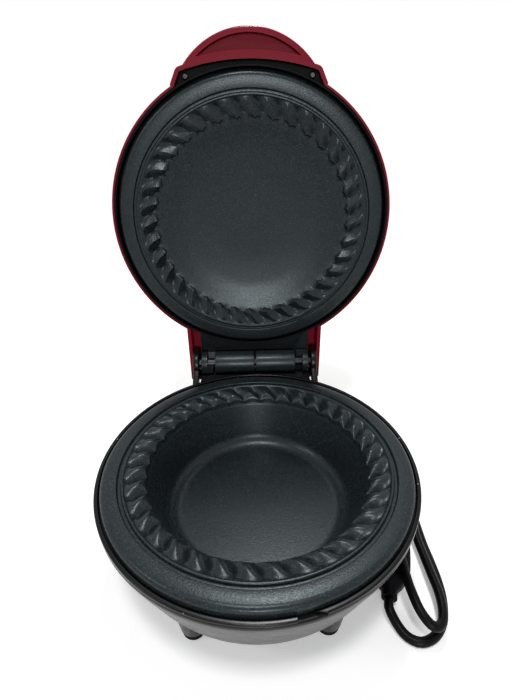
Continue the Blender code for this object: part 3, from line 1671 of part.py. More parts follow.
black_gloss = material("black_gloss_plastic", (0.012, 0.012, 0.012), 0.22)
ring_black = material("black_trim_plastic", (0.014, 0.014, 0.014), 0.3)
red_gloss = material("red_gloss_plastic", (0.26, 0.004, 0.018), 0.2)
black_liner = material("black_liner_plastic", (0.016, 0.016, 0.016), 0.4)
non_stick = material("non_stick_aluminium", (0.03, 0.032, 0.034), 0.5, 0.3)
rubber = material("black_rubber", (0.02, 0.02, 0.02), 0.8)
steel = material("zinc_plated_steel", (0.5, 0.5, 0.48), 0.35, 1.0)
dark_steel = material("blackened_steel", (0.04, 0.04, 0.042), 0.35, 1.0)
reflector_metal = material("reflector_steel", (0.62, 0.62, 0.6), 0.3, 1.0)
element_metal = material("element_sheath", (0.32, 0.31, 0.3), 0.45, 1.0)
ceramic = material("thermostat_ceramic", (0.75, 0.73, 0.68), 0.6)
fuse_sleeve = material("fuse_sleeve", (0.78, 0.76, 0.7), 0.8)
wire_cover = material("wire_insulation", (0.7, 0.7, 0.68), 0.6)
cord_cover = material("cord_pvc", (0.012, 0.013, 0.015), 0.4)
plug_cover = material("plug_pvc", (0.012, 0.012, 0.016), 0.55)
blade_metal = material("nickel_plated_brass", (0.6, 0.57, 0.5), 0.3, 1.0)
lens_plastic = material("clear_red_lens", (0.5, 0.02, 0.02), 0.15)
lamp_glass = material("lamp_glass", (0.8, 0.6, 0.4), 0.2)

base_shell(appliance, black_gloss)
base_ring(appliance, ring_black)
lower_plate(appliance, non_stick)
heater("lower_heater", PLATE_UNDER - GAP - HEATER_TUBE, -1, appliance, element_metal)
lower_reflector(appliance, reflector_metal)
thermostat(appliance, ceramic)
thermal_fuse(appliance, fuse_sleeve)
wires(appliance, wire_cover)
feet(appliance, rubber)
hinge_pin(appliance, dark_steel)
strain_relief(appliance, rubber)
cord(appliance, cord_cover)
plug(appliance, plug_cover, blade_metal)

lid_shell(lid, red_gloss)
lid_liner(lid, black_liner)
upper_plate(lid, non_stick)
heater("upper_heater", UPPER_FACE + PLATE_FLANGE + GAP + HEATER_TUBE, 0.3, lid, element_metal)
upper_reflector(lid, reflector_metal)
indicator(lid, lens_plastic, lamp_glass)
screws(appliance, lid, steel, dark_steel)
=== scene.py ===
# %% [markdown]
# # A mini pie maker, dressed over its frame
#
# The appliance stands open: a bowl-shaped black base carries a deep baking plate with twisted flutes,
# and a red domed lid carries the shallow plate that closes on it. The frame gives every solid at its true
# place, so each piece here is drawn again with finer curves, in metres, and laid where its solid is.

import json
from math import asin, atan2, copysign, cos, pi, radians, sin, sqrt, tan

import bmesh
import bpy
from mathutils import Matrix, Vector

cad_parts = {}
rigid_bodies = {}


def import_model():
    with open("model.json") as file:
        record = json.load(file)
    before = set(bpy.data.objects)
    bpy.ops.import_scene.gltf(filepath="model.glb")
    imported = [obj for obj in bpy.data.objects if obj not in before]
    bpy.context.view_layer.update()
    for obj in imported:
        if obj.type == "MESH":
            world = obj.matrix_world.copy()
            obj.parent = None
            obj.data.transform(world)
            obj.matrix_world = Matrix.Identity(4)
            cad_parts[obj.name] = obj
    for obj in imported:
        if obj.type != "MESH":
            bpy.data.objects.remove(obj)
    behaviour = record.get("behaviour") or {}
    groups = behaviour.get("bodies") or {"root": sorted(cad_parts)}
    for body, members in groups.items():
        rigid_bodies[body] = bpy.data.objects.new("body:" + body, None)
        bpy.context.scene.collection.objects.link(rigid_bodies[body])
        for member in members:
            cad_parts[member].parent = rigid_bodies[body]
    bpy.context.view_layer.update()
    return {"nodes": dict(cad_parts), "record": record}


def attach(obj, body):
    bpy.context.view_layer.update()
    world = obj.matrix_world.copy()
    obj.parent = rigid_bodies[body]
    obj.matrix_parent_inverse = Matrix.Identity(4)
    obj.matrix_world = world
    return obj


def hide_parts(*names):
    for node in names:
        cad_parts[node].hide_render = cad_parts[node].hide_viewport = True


for leftover in list(bpy.data.objects):
    bpy.data.objects.remove(leftover, do_unlink=True)
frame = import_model()
slot_of = {part["node"]: part["material_slot"] for part in frame["record"]["subparts"]}


# %% Objects and meshes of this scene
def placed(name, data):
    """A new object for this data, linked into the scene."""
    made = bpy.data.objects.new(name, data)
    bpy.context.scene.collection.objects.link(made)
    return made


def evaluated_mesh(piece):
    """The mesh that a curve's bevel or a piece's modifiers give."""
    bpy.context.view_layer.update()
    return bpy.data.meshes.new_from_object(piece.evaluated_get(bpy.context.evaluated_depsgraph_get()))



# %% [markdown]
# ## Where things stand
#
# The pieces are easiest to draw with the lid closed, measured from the centre of the lower plate's face.
# One matrix then carries them to the table, and a second one swings what belongs to the lid back on the
# hinge to where it stands open. Drawing in the closed frame keeps both halves round about one axis.

# %% The closed appliance and the open lid
PLATE_HEIGHT = 0.0470
BASE_Y = -0.02051083
HINGE_Y = 0.0728
HINGE_Z = 0.0005
LID_OPEN = radians(91.6)

ON_TABLE = Matrix.Translation((0, BASE_Y, PLATE_HEIGHT))
ABOUT_HINGE = Matrix.Translation((0, HINGE_Y, HINGE_Z))
ON_LID = ON_TABLE @ ABOUT_HINGE @ Matrix.Rotation(-LID_OPEN, 4, "X") @ ABOUT_HINGE.inverted()
HALVES = {"base": ON_TABLE, "lid": ON_LID}
print("lid plate centre", [round(c, 4) for c in ON_LID @ Vector((0, 0, 0))])

# %% [markdown]
# ## The camera
#
# A phone held above the front edge took the picture. The ellipses of the two round plates fix its place
# and its lens, because a circle's outline in perspective depends on nothing else. The sensor width is on
# the long side of the picture, which stands upright.

# %% Camera
CAMERA_PLACE = Vector((-0.00057, -0.15224, 0.17153))
YAW, PITCH, ROLL = radians(1.30), radians(29.76), radians(-0.62)
SENSOR_MM, LENS_MM = 36.0, 22.99
NEAREST = 0.005

forward = Vector((sin(YAW) * cos(PITCH), cos(YAW) * cos(PITCH), -sin(PITCH)))
level = Vector((cos(YAW), -sin(YAW), 0))
rise = level.cross(forward)
right = cos(ROLL) * level + sin(ROLL) * rise
up = cos(ROLL) * rise - sin(ROLL) * level
camera_data = bpy.data.cameras.new("photo_camera")
camera_data.sensor_width = SENSOR_MM
camera_data.lens = LENS_MM
camera_data.clip_start = NEAREST
camera = placed("photo_camera", camera_data)
camera.matrix_world = Matrix.Translation(CAMERA_PLACE) @ Matrix((right, up, -forward)).transposed().to_4x4()
bpy.context.scene.camera = camera
print("camera looks along", [round(c, 3) for c in forward])

# %% [markdown]
# ## The cord
#
# A short two-core mains lead leaves the rear of the base, lies behind it in one lazy turn and comes
# forward on the right, where it is folded over its own plug in two long loops. A curve with a round
# bevel is the natural choice: its own line is the cord's centre, so its length can be measured. The
# route is the one that the solids follow, and a smooth curve through it keeps every bend gentle. A point
# with two numbers lies on the table, and one with three has its own height.

# %% Cord route and curve
CORD_RADIUS = 0.0018
CORD_REST = -PLATE_HEIGHT + CORD_RADIUS + 0.00005
RELIEF_END = 0.0808
RELIEF_HEIGHT = -0.0315
PLUG_PLACE = Vector((0.0499, -0.0286, -PLATE_HEIGHT + 0.0047 + 0.0003))
PLUG_TURN = radians(16)
PLUG_ENTRY = 0.0043
CORD_SPACING = 0.0016

CORD_POINTS = [
    (0.0, RELIEF_END + 0.0003, RELIEF_HEIGHT), (0.0, RELIEF_END + 0.0039, RELIEF_HEIGHT),
    (0.0, 0.0862, -0.0319), (-0.0028, 0.0930, -0.0345), (-0.0095, 0.0995, -0.0390),
    (-0.0190, 0.1030, -0.0430), (-0.0295, 0.1025), (-0.0395, 0.0980), (-0.0465, 0.0895), (-0.0475, 0.0790),
    (-0.0425, 0.0700), (-0.0330, 0.0655), (-0.0200, 0.0655), (-0.0050, 0.0680), (0.0110, 0.0715),
    (0.0260, 0.0740), (0.0390, 0.0735), (0.0490, 0.0690), (0.0545, 0.0620), (0.0563, 0.0550),
    (0.0565, 0.0480), (0.0569, 0.0390, -0.0445), (0.0574, 0.0270, -0.0408), (0.0579, 0.0150, -0.0366),
    (0.0577, 0.0050, -0.0351), (0.0571, -0.0060, -0.0350), (0.0563, -0.0170, -0.0350),
    (0.0556, -0.0265, -0.0350), (0.0557, -0.0344, -0.0352), (0.0573, -0.0410, -0.0369),
    (0.0606, -0.0449, -0.0389), (0.0643, -0.0436, -0.0403), (0.0668, -0.0386, -0.0408),
    (0.0679, -0.0318, -0.0410), (0.0680, -0.0245, -0.0415), (0.0680, -0.0150, -0.0421),
    (0.0680, -0.0050, -0.0420), (0.0696, 0.0050, -0.0413), (0.0712, 0.0150, -0.0408),
    (0.0711, 0.0240, -0.0409), (0.0686, 0.0320, -0.0417), (0.0645, 0.0385, -0.0432),
    (0.0621, 0.0450, -0.0446), (0.0638, 0.0514), (0.0689, 0.0528), (0.0722, 0.0475), (0.0726, 0.0380),
    (0.0724, 0.0250), (0.0720, 0.0130), (0.0713, 0.0020), (0.0709, -0.0080), (0.0711, -0.0160),
    (0.0710, -0.0245), (0.0700, -0.0318), (0.0677, -0.0386), (0.0643, -0.0435), (0.0600, -0.0463),
    (0.0558, -0.0468), (0.0521, -0.0446), (0.0496, -0.0408, -0.0442),
]
toward_plug = Vector((sin(PLUG_TURN), cos(PLUG_TURN), 0))
cord_route = [point if len(point) == 3 else (*point, CORD_REST) for point in CORD_POINTS]
cord_route += [PLUG_PLACE - reach * toward_plug for reach in (PLUG_ENTRY + 2 * CORD_RADIUS, PLUG_ENTRY)]


def smooth_line(points, spacing, fine=16):
    """Points at an even spacing along a smooth curve through the given ones."""
    places = [Vector(p) for p in points]
    ends = [2 * places[0] - places[1], *places, 2 * places[-1] - places[-2]]
    dense = []
    for before, start, end, after in zip(ends, ends[1:], ends[2:], ends[3:]):
        for step in range(fine):
            t = step / fine
            dense.append(
                (2 * t**3 - 3 * t**2 + 1) * start
                + (t**3 - 2 * t**2 + t) * (end - before) / 2
                + (3 * t**2 - 2 * t**3) * end
                + (t**3 - t**2) * (after - start) / 2
            )
    dense.append(places[-1])
    lengths = [0.0]
    for first, second in zip(dense, dense[1:]):
        lengths.append(lengths[-1] + (second - first).length)
    count = round(lengths[-1] / spacing)
    line, index = [], 0
    for step in range(count + 1):
        goal = lengths[-1] * step / count
        while index < len(dense) - 2 and lengths[index + 1] < goal:
            index += 1
        run = lengths[index + 1] - lengths[index]
        line.append(dense[index].lerp(dense[index + 1], (goal - lengths[index]) / run))
    return line


cord_line = [ON_TABLE @ place for place in smooth_line(cord_route, CORD_SPACING)]
cord_curve = bpy.data.curves.new("mains_cord", "CURVE")
cord_curve.dimensions = "3D"
cord_curve.bevel_depth = CORD_RADIUS
cord_curve.bevel_resolution = 6
cord_curve.use_fill_caps = True
cord_spline = cord_curve.splines.new("POLY")
cord_spline.points.add(len(cord_line) - 1)
for point, place in zip(cord_spline.points, cord_line):
    point.co = (*place, 1)
cord_spline.use_smooth = True
cord_shape = placed("cord_shape", cord_curve)
mains_cord = placed("mains_cord", evaluated_mesh(cord_shape))
bpy.data.objects.remove(cord_shape, do_unlink=True)
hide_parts("cord_lead", "cord_hank")
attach(mains_cord, "base")

# %% [markdown]
# ## Floor, world and lamps
#
# The picture was cut out on white, so the appliance stands on a pale matt floor under soft light. The
# floor is a plain diffuse sheet that keeps the shadow, and the camera also sees a little of its own glow,
# so it closes up with the white world behind it. Light that bounces off it meets a mid grey instead, which
# keeps the undersides dark. The world is white to the camera and to reflections, and dimmer where it
# lights, which leaves the lamps to shape the forms.


# %% Colours and shader nodes
def linear(code, alpha=1.0):
    """A colour written as sRGB hex, such as "#1b1f21", turned to linear light."""
    parts = [int(code[start : start + 2], 16) / 255 for start in (1, 3, 5)]
    return (*(p / 12.92 if p <= 0.04045 else ((p + 0.055) / 1.055) ** 2.4 for p in parts), alpha)


def add(tree, kind, inputs, **settings):
    """Add one shader node: inputs maps a socket to a number, a colour or another node's output."""
    made = tree.nodes.new("ShaderNode" + kind)
    for name, value in settings.items():
        setattr(made, name, value)
    for socket, value in inputs.items():
        if isinstance(value, bpy.types.NodeSocket):
            tree.links.new(value, made.inputs[socket])
        else:
            made.inputs[socket].default_value = value
    return made


def mixed(tree, share, low, high):
    """Two colours mixed by a share; each is an sRGB hex value or another node's output."""
    low, high = (linear(end) if isinstance(end, str) else end for end in (low, high))
    return add(tree, "Mix", {0: share, 6: low, 7: high}, data_type="RGBA").outputs[2]


def ramp(tree, value, start, end, low=0.0, high=1.0, **settings):
    """A value redrawn so that start gives low and end gives high, and no more than that beyond them."""
    inputs = {"Value": value, "From Min": start, "From Max": end, "To Min": low, "To Max": high}
    return add(tree, "MapRange", inputs, **settings).outputs[0]


def any_ray(tree, *kinds):
    """1 for a ray of any of these kinds and 0 for all others."""
    paths = add(tree, "LightPath", {})
    found = paths.outputs[kinds[0]]
    for kind in kinds[1:]:
        found = add(tree, "Math", {0: found, 1: paths.outputs[kind]}, operation="MAXIMUM").outputs[0]
    return found


def cleared_tree(owner):
    """The node tree of a world or material, emptied."""
    owner.use_nodes = True
    owner.node_tree.nodes.clear()
    return owner.node_tree


# %% World
WHITE = linear("#ffffff")
ROOM_STRENGTH = 0.20
world = bpy.data.worlds.new("studio")
bpy.context.scene.world = world
sky = cleared_tree(world)
seen = any_ray(sky, "Is Camera Ray", "Is Glossy Ray", "Is Transmission Ray")
room_light = add(sky, "Background", {"Color": linear("#f1f6f8"), "Strength": ROOM_STRENGTH})
backdrop = add(sky, "Background", {"Color": WHITE, "Strength": 1.0})
mixed_sky = add(sky, "MixShader", {0: seen, 1: room_light.outputs[0], 2: backdrop.outputs[0]})
add(sky, "OutputWorld", {"Surface": mixed_sky.outputs[0]})
print("world", world.name)

# %% Floor
FLOOR_HALF = 3.0
FADE_START, FADE_END = 0.16, 0.60
NEAR_GLOW, FAR_GLOW = 0.32, 1.0
floor_mesh = bpy.data.meshes.new("floor")
corners = [(x * FLOOR_HALF, y * FLOOR_HALF, 0.0) for x, y in ((-1, -1), (1, -1), (1, 1), (-1, 1))]
floor_mesh.from_pydata(corners, [], [(0, 1, 2, 3)])
floor = placed("floor", floor_mesh)
floor_look = bpy.data.materials.new("matt_white_table")
table = cleared_tree(floor_look)
looked_at = any_ray(table, "Is Camera Ray", "Is Glossy Ray")
spot = add(table, "TexCoord", {}).outputs["Object"]
distance = add(table, "VectorMath", {0: spot}, operation="LENGTH").outputs["Value"]
fade = ramp(table, distance, FADE_START, FADE_END, interpolation_type="SMOOTHSTEP")
matt = add(table, "BsdfDiffuse", {"Color": linear("#8c8e8e")})
near_matt = add(table, "BsdfDiffuse", {"Color": mixed(table, fade, "#efefee", "#000000")})
glow_strength = ramp(table, fade, 0.0, 1.0, NEAR_GLOW, FAR_GLOW)
glow = add(table, "Emission", {"Color": WHITE, "Strength": glow_strength})
shown = add(table, "AddShader", {0: near_matt.outputs[0], 1: glow.outputs[0]})
surface = add(table, "MixShader", {0: looked_at, 1: matt.outputs[0], 2: shown.outputs[0]})
add(table, "OutputMaterial", {"Surface": surface.outputs[0]})
floor_mesh.materials.append(floor_look)
print("floor", FLOOR_HALF * 2, "m")

# %% Lamps
LAMP_TARGET = Vector((0.0, 0.0, 0.08))


def soft_lamp(name, place, width, height, watts):
    """A soft box of this width and height, aimed at the middle of the appliance."""
    lamp = bpy.data.lights.new(name, "AREA")
    lamp.shape = "RECTANGLE"
    lamp.size, lamp.size_y = width, height
    lamp.energy = watts
    box = placed(name, lamp)
    box.location = place
    box.rotation_euler = (LAMP_TARGET - box.location).to_track_quat("-Z", "Y").to_euler()


soft_lamp("overhead_box", (-0.04, -0.30, 1.05), 0.16, 0.16, 5.0)
soft_lamp("left_box", (-0.85, -0.30, 0.80), 0.20, 0.20, 1.8)
soft_lamp("rear_box", (0.05, 0.40, 1.02), 0.16, 0.16, 6.0)
soft_lamp("window_box", (0.02, -1.45, 0.43), 0.34, 0.26, 10.0)
bpy.context.scene.view_settings.view_transform = "Standard"
print("lamps", [lamp.name for lamp in bpy.data.lights])

# %% [markdown]
# ## Finishes
#
# Each finish starts from its real material and how its surface was made. The grain of a pattern is given
# in millimetres: a noise texture repeats about once per unit of its scaled coordinate, so its scale is a
# thousand over that size. All patterns use the object's own coordinates, which the frame leaves in metres.


# %% Patterns and finishes
looks = {}


def per_mm(size):
    """The scale that makes a texture's features about this many millimetres wide."""
    return 1000.0 / size


def coordinates(tree, **change):
    """The object's own coordinates in metres, scaled or turned where that is asked for."""
    place = add(tree, "TexCoord", {}).outputs["Object"]
    return add(tree, "Mapping", {"Vector": place, **change}).outputs[0] if change else place


def noise(tree, size, detail, roughness=0.5, **change):
    """A noise with features about size millimetres wide."""
    inputs = {"Scale": per_mm(size), "Detail": detail, "Roughness": roughness}
    return add(tree, "TexNoise", {"Vector": coordinates(tree, **change), **inputs}).outputs["Fac"]


def spots(tree, size, core, edge, strength):
    """Spots, about one in every size millimetres, that fade out from their core to their edge."""
    cells = add(tree, "TexVoronoi", {"Vector": coordinates(tree), "Scale": per_mm(size)})
    return ramp(tree, cells.outputs["Distance"], core, edge, strength, 0.0)


def start_finish(name, **fixed):
    """Begin a material, with its shader's constant sockets set, and give its node tree."""
    look = looks[name] = bpy.data.materials.new(name)
    look.use_nodes = True
    for socket, value in fixed.items():
        look.node_tree.nodes["Principled BSDF"].inputs[socket.replace("_", " ")].default_value = value
    return look.node_tree


def vary(tree, colour, roughness=None, relief=None):
    """Let nodes drive a finish; relief is a pattern with the strength and the height of its bump."""
    normal = None
    if relief:
        height, strength, distance = relief
        normal = add(tree, "Bump", {"Height": height, "Strength": strength, "Distance": distance}).outputs[0]
    for socket, value in (("Base Color", colour), ("Roughness", roughness), ("Normal", normal)):
        if value is not None:
            tree.links.new(value, tree.nodes["Principled BSDF"].inputs[socket])


def grained(name, size, detail, colours, gloss, bump, span=(0.3, 0.7), stretch=(1.0, 1.0, 1.0), **fixed):
    """A finish whose colour, roughness and bump all follow one noise with a grain of size millimetres."""
    tree = start_finish(name, **fixed)
    grain = noise(tree, size, detail, Scale=stretch)
    vary(tree, mixed(tree, grain, *colours), ramp(tree, grain, *span, *gloss), (grain, *bump))


# %% [markdown]
# ### The baking plates: die-cast aluminium under a sprayed PTFE coat
#
# Two or three coats of dark PTFE with mica are sprayed on the blasted casting and baked. The eye sees a
# charcoal film with a fine salt-and-pepper grain about half a millimetre wide, soft highlights that
# spread over it, and tiny bright flakes. The flakes are real, and their glint is painted into the colour
# as pale spots. A noise drives colour, roughness and a shallow bump together, because in the real film
# the high spots are the ones that shine.

# %% Sprayed PTFE coat
tree = start_finish(
    "sprayed_ptfe_on_cast_aluminium", IOR=1.38, Specular_IOR_Level=0.36, Specular_Tint=linear("#edfaff")
)
grain = noise(tree, 0.6, 3.0, 0.65)
film = mixed(tree, ramp(tree, grain, 0.38, 0.66), "#0a0d0e", "#262d2f")
# Pale spots for the mica flakes: their glint is a painted highlight in the base colour, not lamp light.
speckled_with_painted_glints = mixed(tree, spots(tree, 0.9, 0.10, 0.22, 0.55), film, "#5b6669")
vary(tree, speckled_with_painted_glints, ramp(tree, grain, 0.3, 0.7, 0.36, 0.22), (grain, 0.6, 0.00009))
print("finishes", list(looks))

# %% [markdown]
# ### The lid: glossy ABS moulded in deep crimson
#
# The lid's outside is injection-moulded ABS from a polished tool. The pigment is even, so nearly all its
# life comes from the gloss: a faint waviness a few millimetres long bends the reflections, and handling
# leaves a fine haze. The flat faces round the finger hollow of the handle come from a part of the tool
# with a fine spark-eroded grain, so they are duller and give a better grip.

# %% Crimson ABS, glossy and with a spark-eroded grain
tree = start_finish("moulded_crimson_abs", IOR=1.54, Specular_IOR_Level=0.15)
pigment = mixed(tree, noise(tree, 30.0, 2.0), "#660a1c", "#730d22")
haze = ramp(tree, noise(tree, 7.0, 4.0), 0.35, 0.7, 0.17, 0.29)
vary(tree, pigment, haze, (noise(tree, 4.0, 1.0), 0.12, 0.0001))
ERODED = {"colours": ("#680c1d", "#7c1024"), "gloss": (0.46, 0.60), "bump": (0.3, 0.00003)}
grained("eroded_crimson_abs", 0.30, 2.0, **ERODED, IOR=1.54, Specular_IOR_Level=0.10)
print("finishes", list(looks))

# %% [markdown]
# ### The base: glossy black ABS, a little dusty
#
# The housing is the same polished moulding in black. It mirrors the pale table, so its lower half reads
# as grey-green. Hairline wipe marks run round it and are far finer than a pixel, so they are drawn as a
# stretched noise that only varies the roughness. The trim ring collects specks of lint along its edge.

# %% Black ABS housing and trim ring
tree = start_finish("moulded_black_abs", IOR=1.54, Specular_IOR_Level=0.12)
wipes = noise(tree, 9.0, 5.0, 0.7, Scale=(1.0, 1.0, 14.0))
tone = mixed(tree, wipes, "#060707", "#0e100f")
vary(tree, tone, ramp(tree, wipes, 0.3, 0.7, 0.20, 0.36), (noise(tree, 5.0, 1.0), 0.15, 0.0001))
tree = start_finish("moulded_black_abs_with_lint", IOR=1.54, Specular_IOR_Level=0.15)
lint = spots(tree, 3.2, 0.05, 0.11, 1.0)
vary(tree, mixed(tree, lint, "#070808", "#7d8082"), ramp(tree, lint, 0.0, 1.0, 0.24, 0.75))
print("finishes", list(looks))

# %% [markdown]
# ### Heat-resistant mouldings, rubber and PVC
#
# The lid's liner is glass-filled PBT from a spark-eroded tool, which leaves a fine matt grain. The feet
# and the cord's guard are moulded rubber, dull with a dusty bloom. The cord's cover is extruded PVC with
# faint lines along it, and its plug is moulded in the same PVC with a leathery tool texture. They share
# one recipe: a dark colour, a high roughness and a bump at the size of the real grain.

# %% Dark matt plastics
for name, size, colours, gloss, bump in [
    ("moulded_black_pbt", 0.35, ("#030404", "#080909"), (0.52, 0.66), (0.25, 0.00004)),
    ("moulded_black_rubber", 0.8, ("#0a0b0b", "#161718"), (0.62, 0.85), (0.40, 0.00008)),
    ("extruded_black_pvc", 1.4, ("#050506", "#0b0c0d"), (0.30, 0.44), (0.20, 0.00006)),
    ("moulded_black_pvc", 0.6, ("#050507", "#0c0d10"), (0.42, 0.58), (0.35, 0.00006)),
]:
    grained(name, size, 3.0, colours, gloss, bump, IOR=1.52, Specular_IOR_Level=0.07)
print("finishes", list(looks))

# %% [markdown]
# ### Metals
#
# Zinc plate on the hidden screws is a bright, slightly yellow-grey deposit with a crystalline mottle, and
# the pin and the liner's screws are blackened, an oxide that keeps a dull metal shine. The reflectors are
# thin rolled sheet with an aluminium coat, whose rolling leaves long faint lines. The elements' sheaths
# were annealed, so they carry straw and blue-grey heat tints. The plug's blades are brass under bright
# nickel. A metal keeps the default IOR, and its colour is its reflection.

# %% Metals
for name, size, colours, gloss, stretch in [
    ("zinc_plated_steel", 0.8, ("#a9aaa6", "#c9c9c2"), (0.26, 0.42), (1.0, 1.0, 1.0)),
    ("blackened_steel", 0.8, ("#232426", "#3a3b3d"), (0.30, 0.48), (1.0, 1.0, 1.0)),
    ("rolled_aluminised_steel", 1.2, ("#bcbcb8", "#d3d3cf"), (0.22, 0.40), (1.0, 12.0, 12.0)),
    ("annealed_steel_sheath", 5.0, ("#6e6a68", "#a08f78"), (0.34, 0.52), (1.0, 1.0, 1.0)),
    ("nickel_plated_brass", 1.0, ("#bdb9ae", "#d6d0c0"), (0.16, 0.30), (12.0, 1.0, 12.0)),
]:
    grained(name, size, 4.0, colours, gloss, (0.15, 0.00004), stretch=stretch, Metallic=1.0)
print("finishes", list(looks))

# %% [markdown]
# ### Hidden insulators
#
# Under the plate are a pressed steatite thermostat, a thermal fuse in a braided glass sleeve and leads
# with a glass braid over silicone. They are pale and dull. The braids are about half a millimetre wide,
# and two crossed waves give their weave. The power lamp is a small glass bulb behind a red lens.

# %% Ceramic and braids
WAVES_PER_UNIT = 3.2
CERAMIC = {"colours": ("#d2cdc2", "#e6e2d9"), "gloss": (0.5, 0.75), "bump": (0.2, 0.00005)}
grained("pressed_steatite", 0.6, 3.0, **CERAMIC, span=(0.0, 1.0), IOR=1.6)
for name, gap, yarn, thread in [
    ("braided_glass_sleeve", "#c8c2b2", "#efeade", 0.55),
    ("glass_braid_over_silicone", "#b9b8b1", "#e2e1dc", 0.45),
]:
    tree = start_finish(name, Roughness=0.8)
    turns = []
    for lean in (radians(45), radians(-45)):
        turned_place = coordinates(tree, Rotation=(lean, lean, lean))
        strands = add(tree, "TexWave", {"Vector": turned_place, "Scale": per_mm(thread) / WAVES_PER_UNIT})
        turns.append(strands.outputs["Fac"])
    weave = add(tree, "Math", {0: turns[0], 1: turns[1]}, operation="MAXIMUM").outputs[0]
    vary(tree, mixed(tree, weave, gap, yarn), relief=(weave, 0.4, 0.0001))
print("finishes", list(looks))

# %% Lens and lamp
tree = start_finish("moulded_red_polycarbonate", IOR=1.58, Roughness=0.08, Transmission_Weight=0.6)
vary(tree, mixed(tree, noise(tree, 2.0, 2.0), "#a80f14", "#c8191c"))
tree = start_finish("blown_lamp_glass", IOR=1.5, Transmission_Weight=0.7)
seed = noise(tree, 1.0, 2.0)
vary(tree, mixed(tree, seed, "#e0b98a", "#f0d2a8"), ramp(tree, seed, 0.0, 1.0, 0.05, 0.2))
print("finishes", list(looks))

# %% [markdown]
# ### Dressing the solids
#
# Every solid of the frame gets the finish of its slot, also the ones inside that no view shows, because
# the lid and the base may be taken apart by whoever uses the part. Pieces drawn again below take the
# finish and the slot of the solid that they stand for.

# %% Finish for each slot
FINISHES = {
    "black_gloss_plastic": "moulded_black_abs",
    "black_trim_plastic": "moulded_black_abs_with_lint",
    "red_gloss_plastic": "moulded_crimson_abs",
    "black_liner_plastic": "moulded_black_pbt",
    "non_stick_aluminium": "sprayed_ptfe_on_cast_aluminium",
    "black_rubber": "moulded_black_rubber",
    "zinc_plated_steel": "zinc_plated_steel",
    "blackened_steel": "blackened_steel",
    "reflector_steel": "rolled_aluminised_steel",
    "element_sheath": "annealed_steel_sheath",
    "thermostat_ceramic": "pressed_steatite",
    "fuse_sleeve": "braided_glass_sleeve",
    "wire_insulation": "glass_braid_over_silicone",
    "cord_pvc": "extruded_black_pvc",
    "plug_pvc": "moulded_black_pvc",
    "nickel_plated_brass": "nickel_plated_brass",
    "clear_red_lens": "moulded_red_polycarbonate",
    "lamp_glass": "blown_lamp_glass",
}
look_of = {slot: looks[name] for slot, name in FINISHES.items()}
for name, solid in frame["nodes"].items():
    solid.data.materials.clear()
    solid.data.materials.append(look_of[slot_of[name]])
    solid.data.shade_smooth()
    solid.data.set_sharp_from_angle(angle=radians(35))
mains_cord.data.materials.append(look_of["cord_pvc"])
print("dressed", len(frame["nodes"]), "solids")

# %% [markdown]
# ## Drawing round pieces
#
# Nearly every piece here was turned or cast about an axis, so a profile of (distance from the axis,
# height) is skinned ring by ring. Corners get a real radius, because no moulding or casting has a sharp
# one and the highlight that runs along a rounded edge is what makes it look solid.

# %% Profiles, rings and skins
CLEAR = 0.0003
CORNER_SHARE = 0.48


def rounded(corners, steps=5):
    """A profile whose corners, given as (across, up, radius), become arcs."""
    line = []
    last = len(corners) - 1
    for index, (x, y, radius) in enumerate(corners):
        if index in (0, last) or radius == 0:
            line.append((x, y))
            continue
        here = Vector((x, y))
        before = Vector(corners[index - 1][:2]) - here
        after = Vector(corners[index + 1][:2]) - here
        half = before.angle(after) / 2
        reach = min(radius / tan(half), CORNER_SHARE * before.length, CORNER_SHARE * after.length)
        before.normalize()
        after.normalize()
        centre = here + (before + after).normalized() * reach / cos(half)
        first, second = here + before * reach - centre, here + after * reach - centre
        start = atan2(first.y, first.x)
        sweep = (atan2(second.y, second.x) - start + pi) % (2 * pi) - pi
        arc_radius = first.length
        for step in range(steps + 1):
            angle = start + sweep * step / steps
            line.append((centre.x + arc_radius * cos(angle), centre.y + arc_radius * sin(angle)))
    return line


def smooth_profile(points, spacing, least=0.0):
    """A smooth profile through (across, up) points, without what lies nearer the axis than least."""
    line = smooth_line([(x, y, 0) for x, y in points], spacing)
    return [(place.x, place.y) for place in line if place.x > least]


def ring_of(radius, height, count, wave=None, twist=0.0):
    """One ring of corners; wave gives the radius and height to add at each angle."""
    corners = []
    for step in range(count):
        angle = 2 * pi * step / count + twist
        more_radius, more_height = wave(angle) if wave else (0.0, 0.0)
        reach = radius + more_radius
        corners.append(Vector((reach * cos(angle), reach * sin(angle), height + more_height)))
    return corners


def piece_from(name, bm):
    """A piece with its faces turned outward, from a bmesh that is then freed."""
    bmesh.ops.recalc_face_normals(bm, faces=bm.faces)
    mesh = bpy.data.meshes.new(name)
    bm.to_mesh(mesh)
    bm.free()
    return placed(name, mesh)


def skin(name, rings, start=None, end=None):
    """Skin over rings of equal count, closed by a point at each end or, without them, into a tube."""
    bm = bmesh.new()
    rows = [[bm.verts.new(corner) for corner in ring] for ring in rings]
    pairs = list(zip(rows, rows[1:]))
    if start is None:
        pairs.append((rows[-1], rows[0]))
    for first, second in pairs:
        for here in range(len(first)):
            beyond = (here + 1) % len(first)
            bm.faces.new((first[here], first[beyond], second[beyond], second[here]))
    for tip, row in ((start, rows[0]), (end, rows[-1])):
        if tip is not None:
            point = bm.verts.new(tip)
            for here, after in zip(row, row[1:] + row[:1]):
                bm.faces.new((point, here, after))
    return piece_from(name, bm)


def turned(name, profile, steps=96, place=Matrix.Identity(4)):
    """Turn a profile about Z: it ends on the axis at both ends, or else is closed into a ring."""
    solid = profile[0][0] == 0.0
    between = profile[1:-1] if solid else profile
    rings = [ring_of(radius, height, steps) for radius, height in between]
    tips = [(0, 0, profile[0][1]), (0, 0, profile[-1][1])] if solid else [None, None]
    piece = skin(name, rings, *tips)
    piece.data.transform(place)
    return piece


